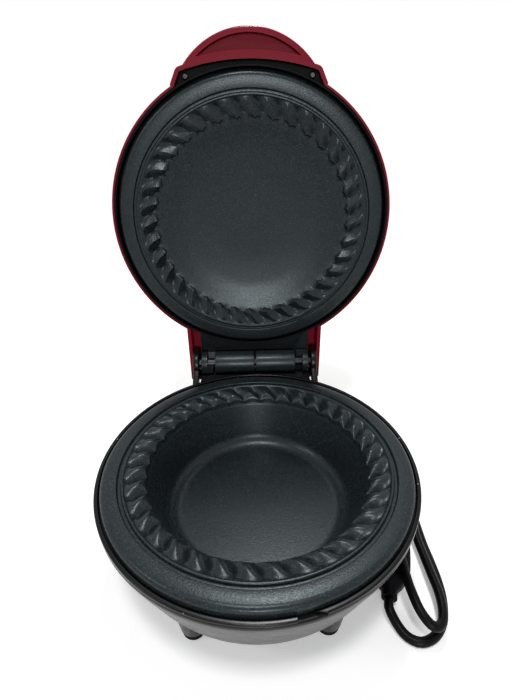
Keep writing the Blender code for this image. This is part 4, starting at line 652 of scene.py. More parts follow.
def offset(profile, distance):
    """The profile moved to its left by a distance, corner by corner."""
    moved = []
    last = len(profile) - 1
    for index, (x, y) in enumerate(profile):
        before, after = profile[max(index - 1, 0)], profile[min(index + 1, last)]
        first = Vector((x - before[0], y - before[1])) if index else Vector((after[0] - x, after[1] - y))
        second = Vector((after[0] - x, after[1] - y)) if index < last else first
        first.normalize()
        second.normalize()
        normal = Vector((-first.y - second.y, first.x + second.x)).normalized()
        reach = distance / max(normal.dot(Vector((-first.y, first.x))), 0.5)
        moved.append((x + normal.x * reach, y + normal.y * reach))
    return moved


def arc(centre, radius, start, end, count):
    """Points along an arc, at count even steps."""
    angles = [start + (end - start) * step / count for step in range(count + 1)]
    return [(centre[0] + radius * cos(a), centre[1] + radius * sin(a)) for a in angles]


# %% [markdown]
# ### Joining and cutting
#
# Lugs, windows and screw holes are added to the round pieces with exact booleans, as a toolmaker adds
# inserts to a mould. Each change is made real at once, so that the tools used for it can be thrown away.


# %% Flat pieces, booleans and placing
ALONG_X = Matrix(((0, 0, 1, 0), (1, 0, 0, 0), (0, 1, 0, 0), (0, 0, 0, 1)))
EDGE_STEPS, SHARP_EDGE = 3, radians(40)


def made_real(piece):
    """Apply a piece's modifiers to its mesh."""
    mesh = evaluated_mesh(piece)
    piece.modifiers.clear()
    piece.data = mesh
    return piece


def softened(piece, width):
    """Round the sharp edges to about this width."""
    bevel = piece.modifiers.new("round", "BEVEL")
    bevel.width = width
    bevel.segments = EDGE_STEPS
    bevel.limit_method = "ANGLE"
    bevel.angle_limit = SHARP_EDGE
    bevel.use_clamp_overlap = False
    return made_real(piece)


def slab(name, outline, low, high, along_x=False, edge=0.0):
    """A flat outline given thickness: (x, y) points between two heights, or (y, z) points between two x."""
    bm = bmesh.new()
    rows = [[bm.verts.new((u, v, height)) for u, v in outline] for height in (low, high)]
    count = len(outline)
    for here in range(count):
        beyond = (here + 1) % count
        bm.faces.new((rows[0][here], rows[0][beyond], rows[1][beyond], rows[1][here]))
    bm.faces.new(rows[0])
    bm.faces.new(rows[1])
    piece = piece_from(name, bm)
    if along_x:
        piece.data.transform(ALONG_X)
    return softened(piece, edge) if edge else piece


def block(name, low, high, edge=0.0):
    """A box between two opposite corners."""
    outline = [(low[0], low[1]), (high[0], low[1]), (high[0], high[1]), (low[0], high[1])]
    return slab(name, outline, low[2], high[2], edge=edge)


def rod(name, radius, start, end, steps=48, tip=None, edge=0.0):
    """A round bar or cone between two points, with rounded ends."""
    first = Vector(start)
    axis = Vector(end) - first
    far = radius if tip is None else tip
    long = axis.length
    profile = rounded([(0.0, 0.0, 0), (radius, 0.0, edge), (far, long, edge), (0.0, long, 0)])
    place = Matrix.Translation(first) @ axis.to_track_quat("Z", "Y").to_matrix().to_4x4()
    return turned(name, profile, steps, place)


def upright(name, radius, spot, start, end, steps=48, **form):
    """A round bar that stands at one (x, y) spot, between two heights."""
    return rod(name, radius, (*spot, start), (*spot, end), steps, **form)


def shape(piece, operation, tools):
    """Join the tools to a piece or cut them from it, and remove them."""
    for tool in tools:
        change = piece.modifiers.new("change", "BOOLEAN")
        change.operation = operation
        change.solver = "EXACT"
        change.object = tool
    made_real(piece)
    for tool in tools:
        bpy.data.objects.remove(tool, do_unlink=True)
    return piece


def joined(piece, *tools):
    return shape(piece, "UNION", tools)


def cut(piece, *tools):
    return shape(piece, "DIFFERENCE", tools)


def fitted(piece, half, *solids, angle=radians(38)):
    """Finish a piece: put it on its half, shade it, and let it stand for its solids."""
    slot = slot_of[solids[0]]
    piece.data.transform(HALVES[half])
    piece.data.materials.clear()
    piece.data.materials.append(look_of[slot])
    piece.data.shade_smooth()
    piece.data.set_sharp_from_angle(angle=angle)
    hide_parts(*solids)
    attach(piece, half)
    spans = [max(axis) - min(axis) for axis in zip(*(corner.co for corner in piece.data.vertices))]
    print(f"{piece.name}: {len(piece.data.polygons)} faces, {[round(1000 * span, 1) for span in spans]} mm")


# %% [markdown]
# ## The baking plates
#
# Both plates are die castings, 120 mm across. A flat rim with a drip groove surrounds 36 twisted flutes
# that crimp the crust. On the lower plate the flutes are plump lobes with narrow valleys; on the upper
# plate they are the other way round, sharp ridges with hollow valleys that lean the other way, so that
# the two press the pastry into pleats. The rings of the mesh turn with the flutes, so that a row of
# corners runs down every ridge and valley and keeps it crisp.

# %% Plate sizes and flutes
FLUTES = 36
FLUTE_SAMPLES = 12
ROUND = FLUTES * FLUTE_SAMPLES
FLUTE_TWIST = pi / FLUTES
PLATE_RADIUS = 0.0600
PLATE_FLANGE = 0.0043
PLATE_WALL = 0.0032
GROOVE_RADIUS = 0.0529
GROOVE_WIDTH, GROOVE_DEPTH = 0.0012, 0.0012
CRUST_RADIUS = 0.0508
PLATE_UNDER = -PLATE_FLANGE
NECK_RADIUS = 0.0470
BEAD = 0.0003
CLOSED_GAP = 0.0004


def lobe(phase, sharpness):
    """A wave from -1 to 1 with plump crests and narrow valleys."""
    across = abs(2 * ((phase / (2 * pi) + 0.25) % 1.0) - 1)
    return 1 - 2 * across**sharpness


def ridge(phase, sharpness):
    """The same wave upside down: sharp crests and hollow valleys."""
    return -lobe(phase + pi, sharpness)


def fluted_ring(inner, row, form, sharpness, way):
    """One ring over the flutes: row is its share of the way out, height, wave height and wave reach."""
    share, height, swell, reach = row

    def wave(angle):
        level = form(FLUTES * angle - way * pi * share, sharpness)
        return reach * level, swell * level

    return ring_of(inner + (CRUST_RADIUS - inner) * share, height, ROUND, wave, way * FLUTE_TWIST * share)


def rim_profile():
    """The plate's rim from the flutes' outer bead over the groove to the back of the flange."""
    inner, outer = GROOVE_RADIUS - GROOVE_WIDTH / 2, GROOVE_RADIUS + GROOVE_WIDTH / 2
    return rounded(
        [
            (CRUST_RADIUS + BEAD, -BEAD, 0),
            (CRUST_RADIUS + 2 * BEAD, 0.0, BEAD),
            (inner - 0.0002, 0.0, BEAD),
            (inner, -GROOVE_DEPTH, BEAD),
            (outer, -GROOVE_DEPTH, BEAD),
            (outer + 0.0002, 0.0, BEAD),
            (PLATE_RADIUS, 0.0, 0.0020),
            (PLATE_RADIUS, PLATE_UNDER, BEAD),
            (PLATE_RADIUS - 0.0030, PLATE_UNDER, 0),
        ],
        4,
    )


def casting(name, hollow, inner, rows, form, sharpness, way):
    """A plate, face up: its hollow, flutes, rim and an even underside. The flutes lean to the side of way."""
    lean = way * FLUTE_TWIST
    rings = [ring_of(radius, height, ROUND) for radius, height in hollow[1:]]
    rings += [fluted_ring(inner, row, form, sharpness, way) for row in rows]
    under = list(reversed(offset(hollow[::4] + hollow[-1:], -PLATE_WALL)[1:]))
    outer = rim_profile() + [(NECK_RADIUS, PLATE_UNDER)] + under
    rings += [ring_of(radius, height, ROUND, twist=lean) for radius, height in outer]
    tip = hollow[0][1]
    return skin(name, rings, (0, 0, tip), (0, 0, tip - PLATE_WALL))


# %% Lower plate
MOUTH_RADIUS = 0.0433
BOWL_DEPTH = 0.0240
bowl = rounded([(0.0, -BOWL_DEPTH, 0), (0.0364, -BOWL_DEPTH, 0.0065), (0.0427, -0.0052, 0)], 9)
floor_rings = [(bowl[1][0] * share, -BOWL_DEPTH) for share in (0.2, 0.4, 0.6, 0.8, 0.97)]
wall_foot, wall_head = Vector(bowl[-2]), Vector(bowl[-1])
wall_rings = [tuple(wall_foot.lerp(wall_head, share)) for share in (0.03, 0.2, 0.4, 0.6, 0.8, 0.95)]
bowl = [bowl[0]] + floor_rings + bowl[1:-1] + wall_rings + bowl[-1:]
LOWER_FLUTES = [
    (-0.040, -0.0046, 0.0, 0.0),
    (-0.025, -0.0038, 0.0001, 0.0001),
    (-0.012, -0.0031, 0.0003, 0.0002),
    (0.0, -0.0026, 0.0005, 0.0003),
    (0.04, -0.0023, 0.0008, 0.0003),
    (0.11, -0.0020, 0.0011, 0.0002),
    (0.22, -0.0017, 0.0013, 0.0),
    (0.36, -0.0015, 0.0014, 0.0),
    (0.50, -0.0014, 0.0014, 0.0),
    (0.62, -0.0012, 0.0012, 0.0),
    (0.74, -0.0010, 0.0009, 0.0),
    (0.86, -0.0007, 0.0005, 0.0),
    (1.0, -0.0005, 0.0001, 0.0),
]
lower_casting = casting("pie_plate", bowl, MOUTH_RADIUS, LOWER_FLUTES, lobe, 1.9, 1)
print("lower plate", len(lower_casting.data.vertices), "corners")

# %% Upper plate
CREST_RADIUS = 0.0439
RECESS_DEPTH = 0.0078
RECESS_LINE = [
    (-0.0100, -0.00765), (0.0, -RECESS_DEPTH), (0.0100, -0.00765), (0.0198, -0.00710), (0.0300, -0.00580),
    (0.0360, -0.00445), (0.0400, -0.00323), (0.0421, -0.00255),
]
recess = [(0.0, -RECESS_DEPTH)] + smooth_profile(RECESS_LINE, 0.0014, 0.0005)
UPPER_FLUTES = [
    (-0.06, -0.00225, -0.0001, -0.0009),
    (-0.03, -0.0018, 0.0004, -0.0010),
    (0.0, -0.0014, 0.0008, -0.0010),
    (0.05, -0.0012, 0.0011, -0.0009),
    (0.14, -0.0011, 0.0012, -0.0006),
    (0.28, -0.0011, 0.0013, -0.0002),
    (0.45, -0.0011, 0.0013, 0.0),
    (0.60, -0.0010, 0.0012, 0.0),
    (0.74, -0.0009, 0.0010, 0.0),
    (0.85, -0.0007, 0.0007, 0.0),
    (0.93, -0.0005, 0.0003, 0.0),
    (1.0, -0.0004, 0.0001, 0.0),
]
upper_casting = casting("crust_plate", recess, CREST_RADIUS, UPPER_FLUTES, ridge, 1.15, -1)
upper_casting.data.transform(Matrix.Translation((0, 0, CLOSED_GAP)) @ Matrix.Diagonal((1, 1, -1, 1)))
upper_casting.data.flip_normals()
print("upper plate", len(upper_casting.data.vertices), "corners")

# %% [markdown]
# ### Tongues and knuckles
#
# Each plate carries a flat tongue at the rear, cast in one with a hinge knuckle on one side and a half
# open collar on the other. A single pin runs through all four, so the plates themselves are the hinge.
# The knuckle of the lower plate is right of the middle and the upper plate's is left.

# %% Hinge castings
TONGUE_HALF = 0.0285
TONGUE_THICKNESS = 0.0026
TONGUE_FRONT = 0.0505
TONGUE_REAR = 0.0731
KNUCKLE_RADIUS = 0.0060
KNUCKLE_BORE = 0.0028
KNUCKLE_START, KNUCKLE_END = 0.0003, 0.0210
COLLAR_START, COLLAR_RING, COLLAR_END = 0.0220, 0.0250, 0.0280
BORE_HALF = 0.0352
SCOOP_START, SCOOP_END = 0.0002, 0.0310
ROOT_RADIUS, ROOT_INSET = 0.0594, 0.0006
INTO_PLATE, INTO_SEAT = 0.0013, 0.0016
OPENING_REACH = 0.028
RUNNING = 0.0004
TONGUE_TOP = PLATE_UNDER - CLEAR
TONGUE_BOTTOM = TONGUE_TOP - TONGUE_THICKNESS
LINER_SEAT = CLOSED_GAP + PLATE_FLANGE + CLEAR
TONGUE_SPACE = CLOSED_GAP + PLATE_FLANGE + CLEAR + TONGUE_THICKNESS
SCREW_CIRCLE = 0.0280
SCREW_SPOTS = [(SCREW_CIRCLE * cos(radians(a)), SCREW_CIRCLE * sin(radians(a))) for a in (90, 210, 330)]


def hinge_bar(name, radius, start, end, edge=0.0):
    """A round bar along the hinge's axis, between two x in either order."""
    near, far = ((x, HINGE_Y, HINGE_Z) for x in sorted((start, end)))
    return rod(name, radius, near, far, edge=edge)


def with_hinge(plate, up):
    """Add the tongue, knuckle and collar to one plate."""
    low, high = (LINER_SEAT, TONGUE_SPACE) if up else (TONGUE_BOTTOM, TONGUE_TOP)
    rise = (LINER_SEAT - INTO_SEAT, low + INTO_PLATE) if up else (high - INTO_PLATE, PLATE_UNDER + INTO_PLATE)
    side = -1 if up else 1
    half, front = TONGUE_HALF - ROOT_INSET, TONGUE_FRONT + ROOT_INSET
    lean = asin(half / ROOT_RADIUS)
    root = [(half, front), *arc((0, 0), ROOT_RADIUS, pi / 2 - lean, pi / 2 + lean, 9), (-half, front)]
    joined(
        plate,
        slab("root", root, *rise),
        block("tongue", (-TONGUE_HALF, TONGUE_FRONT, low), (TONGUE_HALF, TONGUE_REAR, high), edge=0.0003),
    )
    cut(
        plate,
        hinge_bar("scoop", KNUCKLE_RADIUS + RUNNING, side * SCOOP_START, -side * (KNUCKLE_END + RUNNING)),
        hinge_bar("scoop", KNUCKLE_RADIUS + RUNNING, side * (COLLAR_START - RUNNING), side * SCOOP_END),
    )
    joined(
        plate,
        hinge_bar("knuckle", KNUCKLE_RADIUS, side * KNUCKLE_START, side * KNUCKLE_END, edge=0.0005),
        hinge_bar("collar", KNUCKLE_RADIUS, -side * COLLAR_START, -side * COLLAR_END, edge=0.0004),
    )
    open_low, open_high = (HINGE_Z - PLATE_RADIUS, HINGE_Z) if up else (HINGE_Z, PLATE_RADIUS)
    left, right = sorted((-side * (COLLAR_START - CLEAR), -side * COLLAR_RING))
    front, rear = HINGE_Y - OPENING_REACH, HINGE_Y + OPENING_REACH
    cut(
        plate,
        block("opening", (left, front, open_low), (right, rear, open_high)),
        hinge_bar("bore", KNUCKLE_BORE, -BORE_HALF, BORE_HALF),
    )


with_hinge(lower_casting, up=False)
with_hinge(upper_casting, up=True)
SCREW_BOSS, SCREW_HOLE, HOLE_STEPS = 0.0042, 0.0017, 24
under = -BOWL_DEPTH - PLATE_WALL
for spot in SCREW_SPOTS:
    joined(lower_casting, upright("boss", SCREW_BOSS, spot, under - 0.0025, under + 0.0016, edge=0.0003))
    cut(lower_casting, upright("hole", SCREW_HOLE, spot, under - 0.006, -BOWL_DEPTH - 0.0016, HOLE_STEPS))
    joined(upper_casting, upright("boss", SCREW_BOSS, spot, 0.0074, 0.0150, edge=0.0003))
    cut(upper_casting, upright("hole", SCREW_HOLE, spot, 0.0097, 0.018, HOLE_STEPS))
lug = arc((HINGE_Y, HINGE_Z), 0.0057, radians(95.6), radians(151.6), 9) + [(HINGE_Y, HINGE_Z)]
joined(upper_casting, slab("stop_lug", lug, -COLLAR_RING + CLEAR, -KNUCKLE_END + CLEAR, along_x=True))
fitted(lower_casting, "base", "lower_plate", angle=radians(50))
fitted(upper_casting, "lid", "upper_plate", angle=radians(50))

# %% [markdown]
# ## The base
#
# The housing is one moulding: a round wall that narrows in a soft curve to a flat bottom, two ears for the
# hinge pin, four short legs and three posts whose screws pull the plate down. Its wall is drawn as a
# smooth curve through the heights and widths of the solid, and turned with its inside in one go.

# %% Base housing
RIM_RADIUS = 0.0620
BASE_TOP = PLATE_UNDER - CLEAR
BASE_BOTTOM = -0.0406
BASE_WALL = 0.0022
SCREW_SEAT = -0.0365
WALL_LINE = [
    (0.0620, -0.0060), (0.0609, -0.0096), (0.0575, -0.0192), (0.0540, -0.0288), (0.0517, -0.0334),
    (0.0495, -0.0366), (0.0465, -0.0390), (0.0390, BASE_BOTTOM),
]
outside = smooth_profile(WALL_LINE, 0.0012)
inside = [(x, y) for x, y in reversed(offset(outside, -BASE_WALL)) if y < BASE_TOP - 0.0030]
lip_corners = [(RIM_RADIUS - 0.002, BASE_TOP, 0), (RIM_RADIUS, BASE_TOP, 0.0005), (RIM_RADIUS, -0.0060, 0)]
lip = rounded(lip_corners, 4)
shell_profile = [(0.0, BASE_BOTTOM + BASE_WALL), *inside, (0.0575, BASE_TOP - 0.0022), (0.0575, BASE_TOP)]
shell_profile += lip[:-1] + outside + [(0.0, BASE_BOTTOM)]
housing = turned("base_housing", shell_profile, 144)

EAR_INNER, EAR_OUTER, EAR_RADIUS = 0.0293, 0.0322, 0.0074
EAR_ROOT, EAR_BEND, EAR_UNDER = 0.0508, 0.0565, -0.0120
ear_arc = arc((HINGE_Y, HINGE_Z), EAR_RADIUS, radians(235), radians(545), 48)
ear_top = BASE_TOP - CLEAR
under_arm = rounded([(EAR_ROOT, EAR_UNDER, 0), (EAR_BEND, EAR_UNDER, 0.006), (*ear_arc[0], 0)], 6)
over_arm = rounded([(*ear_arc[-1], 0), (EAR_BEND, ear_top, 0.004), (EAR_ROOT, ear_top, 0)], 6)
for side in (-1, 1):
    low, high = sorted((side * EAR_INNER, side * EAR_OUTER))
    joined(housing, slab("ear", under_arm + ear_arc[1:-1] + over_arm, low, high, along_x=True, edge=0.0005))
    cut(housing, hinge_bar("counterbore", 0.0042, side * (EAR_OUTER + 0.003), side * (EAR_OUTER - 0.0015)))
cut(housing, hinge_bar("bore", KNUCKLE_BORE, -BORE_HALF, BORE_HALF))

FOOT_X, FOOT_Y = 0.0246, 0.0386
PAD_TOP = -PLATE_HEIGHT + 0.0033
FOOT_SPOTS = [(x, y) for y in (-FOOT_Y, FOOT_Y) for x in (-FOOT_X, FOOT_X)]
for spot in FOOT_SPOTS:
    joined(housing, upright("leg", 0.0062, spot, -0.0322, PAD_TOP + CLEAR, tip=0.0049, edge=0.0004))
for spot in SCREW_SPOTS:
    joined(housing, upright("post", 0.0048, spot, BASE_BOTTOM + 0.0011, -0.0309, edge=0.0003))
    cut(housing, upright("head_room", 0.0036, spot, BASE_BOTTOM - 0.003, SCREW_SEAT))
    cut(housing, upright("hole", SCREW_HOLE, spot, -0.0380, -0.0290, HOLE_STEPS))
print("housing", len(housing.data.polygons), "faces")

# %% Cord outlet and window
OUTLET = 0.0475
OUTLET_RADIUS, CORD_HOLE_RADIUS, POCKET_RADIUS = 0.0066, 0.0037, 0.0057
WINDOW_HALF = 0.0292


def along_y(name, radius, start, end, edge=0.0):
    """A round bar along the cord's way out."""
    return rod(name, radius, (0, start, RELIEF_HEIGHT), (0, end, RELIEF_HEIGHT), edge=edge)


joined(housing, along_y("outlet", OUTLET_RADIUS, OUTLET, 0.0565, edge=0.0005))
cut(
    housing,
    along_y("cord_hole", CORD_HOLE_RADIUS, 0.0445, 0.0595),
    along_y("pocket", POCKET_RADIUS, 0.0440, OUTLET),
    block("window", (-WINDOW_HALF, 0.0500, TONGUE_BOTTOM - 0.0004), (WINDOW_HALF, HINGE_Y, HINGE_Z)),
)
fitted(housing, "base", "base_shell", angle=radians(34))

# %% [markdown]
# ### Trim ring, pads and cord guard
#
# A loose ring closes the gap between the plate and the housing. Its top slopes: level with the plate at
# the hinge and 3.3 mm lower at the front, so each of its rings is tilted. The rubber pads have a soft
# lower edge. The guard round the cord is a rubber cone with grooves that let it bend.

# %% Trim ring
RING_INNER, RING_OUTER = 0.0605, 0.0621
RING_DROP = 0.0033
RING_STEPS = 180
NOTCH_START, NOTCH_END, NOTCH_DEPTH = 0.0100, 0.0190, 0.0005
section = rounded(
    [
        (RING_INNER, PLATE_UNDER, 0),
        (RING_INNER, -0.5 * RING_DROP, 0.0004),
        (RING_OUTER, -0.5 * RING_DROP, 0.0005),
        (RING_OUTER, PLATE_UNDER, 0),
    ],
    5,
)


def slope(angle):
    """The top of the ring is highest at the hinge and lowest at the front."""
    return 0.0, 0.5 * RING_DROP * sin(angle)


ring_rings = [
    ring_of(radius, height, RING_STEPS, slope if height > PLATE_UNDER else None) for radius, height in section
]
trim = skin("trim_ring", ring_rings)
notch_depth = sqrt(RING_OUTER**2 - NOTCH_END**2) - NOTCH_DEPTH
cut(trim, block("notch", (NOTCH_START, -0.0700, -0.0080), (NOTCH_END, -notch_depth, 0.0030), edge=0.0002))
fitted(trim, "base", "base_ring")

# %% Pads and cord guard
PAD_RADIUS = 0.0044
pad_profile = rounded(
    [
        (0.0, PAD_TOP, 0),
        (PAD_RADIUS, PAD_TOP, 0.0003),
        (PAD_RADIUS, -PLATE_HEIGHT, 0.0011),
        (0.0, -PLATE_HEIGHT, 0),
    ]
)
for number, (x, y) in enumerate(FOOT_SPOTS, 1):
    pad = turned(f"rubber_pad_{number}", pad_profile, 48, Matrix.Translation((x, y, 0)))
    fitted(pad, "base", f"foot_{number}")

GUARD_START = 0.0568
GUARD_FLANGE, GUARD_NECK, FLANGE_THICKNESS = 0.0054, 0.0034, 0.0016
guard_corners = [(0.0, RELIEF_END, 0), (0.0029, RELIEF_END, 0.0004)]
for rib in range(7):
    far = RELIEF_END - 0.0016 - 0.0028 * rib
    wide = 0.0030 + 0.00019 * rib
    guard_corners += [(wide, far, 0.0002), (wide - 0.0007, far - 0.0003, 0.0002)]
    guard_corners += [(wide - 0.0006, far - 0.0011, 0.0002), (wide + 0.0001, far - 0.0014, 0.0002)]
guard_corners += [
    (0.0044, GUARD_START + 0.0018, 0.0003),
    (GUARD_FLANGE, GUARD_START + FLANGE_THICKNESS, 0.0004),
    (GUARD_FLANGE, GUARD_START, 0.0002),
    (GUARD_NECK, GUARD_START, 0),
    (GUARD_NECK, OUTLET - CLEAR, 0),
    (GUARD_FLANGE, OUTLET - CLEAR, 0.0002),
    (GUARD_FLANGE, OUTLET - CLEAR - FLANGE_THICKNESS, 0.0002),
    (0.0, OUTLET - CLEAR - FLANGE_THICKNESS, 0),
]
lay_back = Matrix.Translation((0, 0, RELIEF_HEIGHT)) @ Matrix.Rotation(-pi / 2, 4, "X")
guard = turned("cord_guard", rounded(guard_corners, 3), 48, lay_back)
fitted(guard, "base", "strain_relief")

# %% [markdown]
# ## The lid
#
# The lid's cover is one red moulding: a low dome, a flat brow over the front, a crescent handle that
# stands out from the brow and a hood that hides the hinge. From below, as the picture shows it, only its
# rim, the brow's edge and the handle's hollow can be seen. The dome is a smooth curve turned about the
# lid's axis; the other forms are flat slabs with rounded edges joined to it, and the same forms a wall's
# thickness smaller hollow it out.

# %% Lid outlines
LID_BOTTOM = 0.0008
LID_RADIUS = 0.0630
LID_RISE = 0.0272
DOME_SHARES = [
    (0.317, 0.978), (0.571, 0.912), (0.762, 0.798), (0.889, 0.651), (0.960, 0.485), (0.994, 0.301),
    (1.003, 0.154), (1.000, 0.0),
]
dome_line = [(LID_RADIUS * out, LID_BOTTOM + LID_RISE * high) for out, high in DOME_SHARES]
mirrored = [(-dome_line[0][0], dome_line[0][1]), (0.0, LID_BOTTOM + LID_RISE)]
dome = smooth_profile(mirrored + dome_line, 0.0018, 0.001)
BROW_CREST = 0.0652
BROW_ARC = 0.0990
BROW_CENTRE = BROW_ARC - BROW_CREST
BROW_FLARE, BROW_SIDE = radians(26), 0.0052
HANDLE_CENTRE, HANDLE_RADIUS = 0.0404, 0.0350
HANDLE_WALL = 0.0022
BROW_TOP, HANDLE_BOTTOM, HANDLE_TOP = 0.0100, 0.0088, 0.0140
COVER_PANEL = 0.0020


def brow_outline(shrink=0.0):
    """The brow from above: a shallow arc, two rounded corners and sides that flare to the rear."""
    reach_out, corner, corner_x = BROW_ARC - shrink, 0.0027 - shrink, 0.0270
    lean = asin(corner_x / (reach_out - corner))
    corner_y = BROW_CENTRE - (reach_out - corner) * cos(lean)
    left = arc((-corner_x, corner_y), corner, pi + BROW_FLARE, 3 * pi / 2 - lean, 8)
    front = arc((0, BROW_CENTRE), reach_out, -pi / 2 - lean, -pi / 2 + lean, 48)
    right = arc((corner_x, corner_y), corner, -pi / 2 + lean, -BROW_FLARE, 8)
    x, y = right[-1][0] + BROW_SIDE * sin(BROW_FLARE), right[-1][1] + BROW_SIDE * cos(BROW_FLARE)
    inset = x - 0.0010
    return [(-x, y)] + left + front[1:-1] + right + [(x, y), (inset, -0.0450), (-inset, -0.0450)]


def handle_hollow():
    """The crescent between the handle's wall and the brow."""
    outer, inner = HANDLE_RADIUS - HANDLE_WALL, BROW_ARC + HANDLE_WALL
    apart = BROW_CENTRE + HANDLE_CENTRE
    meet = (apart**2 + outer**2 - inner**2) / (2 * apart)
    half = sqrt(outer**2 - meet**2)
    outer_lean, inner_lean = atan2(half, -meet), asin(half / inner)
    far = arc((0, -HANDLE_CENTRE), outer, -pi / 2 - outer_lean, -pi / 2 + outer_lean, 64)
    near = arc((0, BROW_CENTRE), inner, -pi / 2 + inner_lean, -pi / 2 - inner_lean, 40)
    return far + near[1:-1]


print("dome", len(dome), "rings")

# %% Lid cover
below = LID_BOTTOM - 0.003
handle = arc((0, -HANDLE_CENTRE), HANDLE_RADIUS, pi, 2 * pi, 96)
HOOD_HALF, HOOD_RADIUS, HOOD_WALL = 0.0345, 0.0105, 0.0018
BRIDGE_START = 0.0450
hood_top = HINGE_Z + HOOD_RADIUS
cover = turned("lid_cover", [(0.0, LID_BOTTOM + LID_RISE), *dome, (LID_RADIUS, below), (0.0, below)], 144)
joined(
    cover,
    slab("brow", brow_outline(), below, BROW_TOP, edge=0.0010),
    slab("handle", handle, HANDLE_BOTTOM, HANDLE_TOP, edge=0.0009),
    block("bridge", (-HOOD_HALF, BRIDGE_START, below), (HOOD_HALF, HINGE_Y, hood_top), edge=0.0008),
    hinge_bar("hood", HOOD_RADIUS, -HOOD_HALF, HOOD_HALF, edge=0.0008),
)
cut(cover, block("underside", (-0.126, -0.126, -0.126), (0.126, 0.126, LID_BOTTOM)))

WALL = 0.0019
REBATE = 0.0069
VOID_BOTTOM = -0.020
inner_dome = [(x, y) for x, y in offset(dome, -WALL) if y > REBATE + 0.001]
void = [(0.0, LID_BOTTOM + LID_RISE - WALL), *inner_dome, (inner_dome[-1][0], REBATE + CLEAR)]
void += [(0.0621, REBATE), (0.0621, VOID_BOTTOM), (0.0, VOID_BOTTOM)]
inside_hood, void_radius = HOOD_HALF - HOOD_WALL, HOOD_RADIUS - HOOD_WALL
void_top = hood_top - HOOD_WALL
cut(
    cover,
    turned("dome_void", void, 144),
    slab("brow_void", brow_outline(0.0016), VOID_BOTTOM, BROW_TOP - COVER_PANEL, edge=0.0004),
    slab("handle_void", handle_hollow(), HANDLE_BOTTOM - 0.003, HANDLE_TOP - COVER_PANEL, edge=0.0004),
    block("bridge_void", (-inside_hood, BRIDGE_START, VOID_BOTTOM), (inside_hood, HINGE_Y, void_top)),
    hinge_bar("hood_void", void_radius, -inside_hood, inside_hood),
)
LINER_SCREWS = [(side * 0.0258, -0.0580) for side in (-1, 1)]
LINER_WALL = 0.0016
LINER_TOP = LINER_SEAT + LINER_WALL
SMALL_HOLE = 0.0012
for spot in LINER_SCREWS:
    joined(cover, upright("boss", 0.0021, spot, LINER_TOP + CLEAR, 0.0090, 32))
    cut(cover, upright("hole", SMALL_HOLE, spot, LINER_TOP - 0.0035, 0.0088, HOLE_STEPS))
LENS_Y, LENS_RADIUS = -0.0300, 0.0030
cut(cover, upright("lens_hole", LENS_RADIUS + CLEAR, (0, LENS_Y), 0.0200, 0.0310))
fitted(cover, "lid", "lid_shell", angle=radians(34))
cover.data.materials.append(looks["eroded_crimson_abs"])
FACING_FRONT = -0.985
for face in cover.data.polygons:
    if face.normal.y < FACING_FRONT:
        face.material_index = 1

# %% [markdown]
# ### Liner, lens and screws
#
# The black liner is the lid's inner housing. Its thin upright edge stands round the plate, a flat seat
# carries the plate's flange, and behind it a deep dish keeps the heat off the cover. At the front a flat
# crescent closes the brow, held by two small blackened screws.

# %% Lid liner
SEAT_RADIUS = 0.0575
CRESCENT_RADIUS, CRESCENT_HALF = 0.0613, 0.0283
liner_profile = rounded(
    [
        (0.0, 0.0182, 0),
        (0.0501, 0.0182, 0.0015),
        (0.0574, 0.0115, 0.0015),
        (0.0591, LINER_TOP, 0.0006),
        (0.0618, LINER_TOP, 0.0003),
        (0.0618, CLEAR, 0.0003),
        (0.0610, CLEAR, 0.0003),
        (0.0610, LINER_SEAT, 0.0004),
        (SEAT_RADIUS, LINER_SEAT, 0.0004),
        (0.0558, 0.0107, 0.0015),
        (0.0485, 0.0162, 0.0015),
        (0.0, 0.0162, 0),
    ],
    4,
)
liner = turned("lid_liner_moulding", liner_profile, 180)
CRESCENT_UNDER, CRESCENT_TOP = LINER_SEAT - 0.0005, LINER_TOP - 0.0005
lean = asin(CRESCENT_HALF / CRESCENT_RADIUS)
rear_edge = arc((0, 0), CRESCENT_RADIUS, -pi / 2 + lean, -pi / 2 - lean, 40)
crescent = brow_outline(0.0019)[:-2] + rear_edge
joined(liner, slab("crescent", crescent, CRESCENT_UNDER, CRESCENT_TOP))
window_top = TONGUE_SPACE + 0.0004
cut(liner, block("window", (-WINDOW_HALF, 0.0, LINER_SEAT - 0.0007), (WINDOW_HALF, HINGE_Y, window_top)))
for spot in LINER_SCREWS:
    cut(liner, upright("hole", SMALL_HOLE, spot, CRESCENT_UNDER - 0.003, CRESCENT_TOP + 0.003, HOLE_STEPS))
for spot in SCREW_SPOTS:
    cut(liner, upright("hole", SCREW_HOLE, spot, 0.0132, 0.0212, HOLE_STEPS))
fitted(liner, "lid", "lid_liner", angle=radians(34))

# %% Power lens
lens_top = LID_BOTTOM + LID_RISE * 0.9456
lens_profile = rounded(
    [
        (0.0, lens_top + 0.0010, 0),
        (LENS_RADIUS, lens_top + 0.0002, 0.0006),
        (LENS_RADIUS, lens_top - 0.0040, 0.0002),
        (0.0, lens_top - 0.0040, 0),
    ]
)
lens = turned("power_lens", lens_profile, 48, Matrix.Translation((0, LENS_Y, 0)))
fitted(lens, "lid", "indicator_lens")

# %% [markdown]
# ## Fasteners and plug
#
# The screws are pan heads with a cross recess, cut with two crossed bars. The pin is a plain rivet with a
# domed head on the left and a retainer pressed on at the right. The plug lies flat where the cord
# ends: a soft block that narrows to the cord, with grip grooves, and two flat blades with a hole.


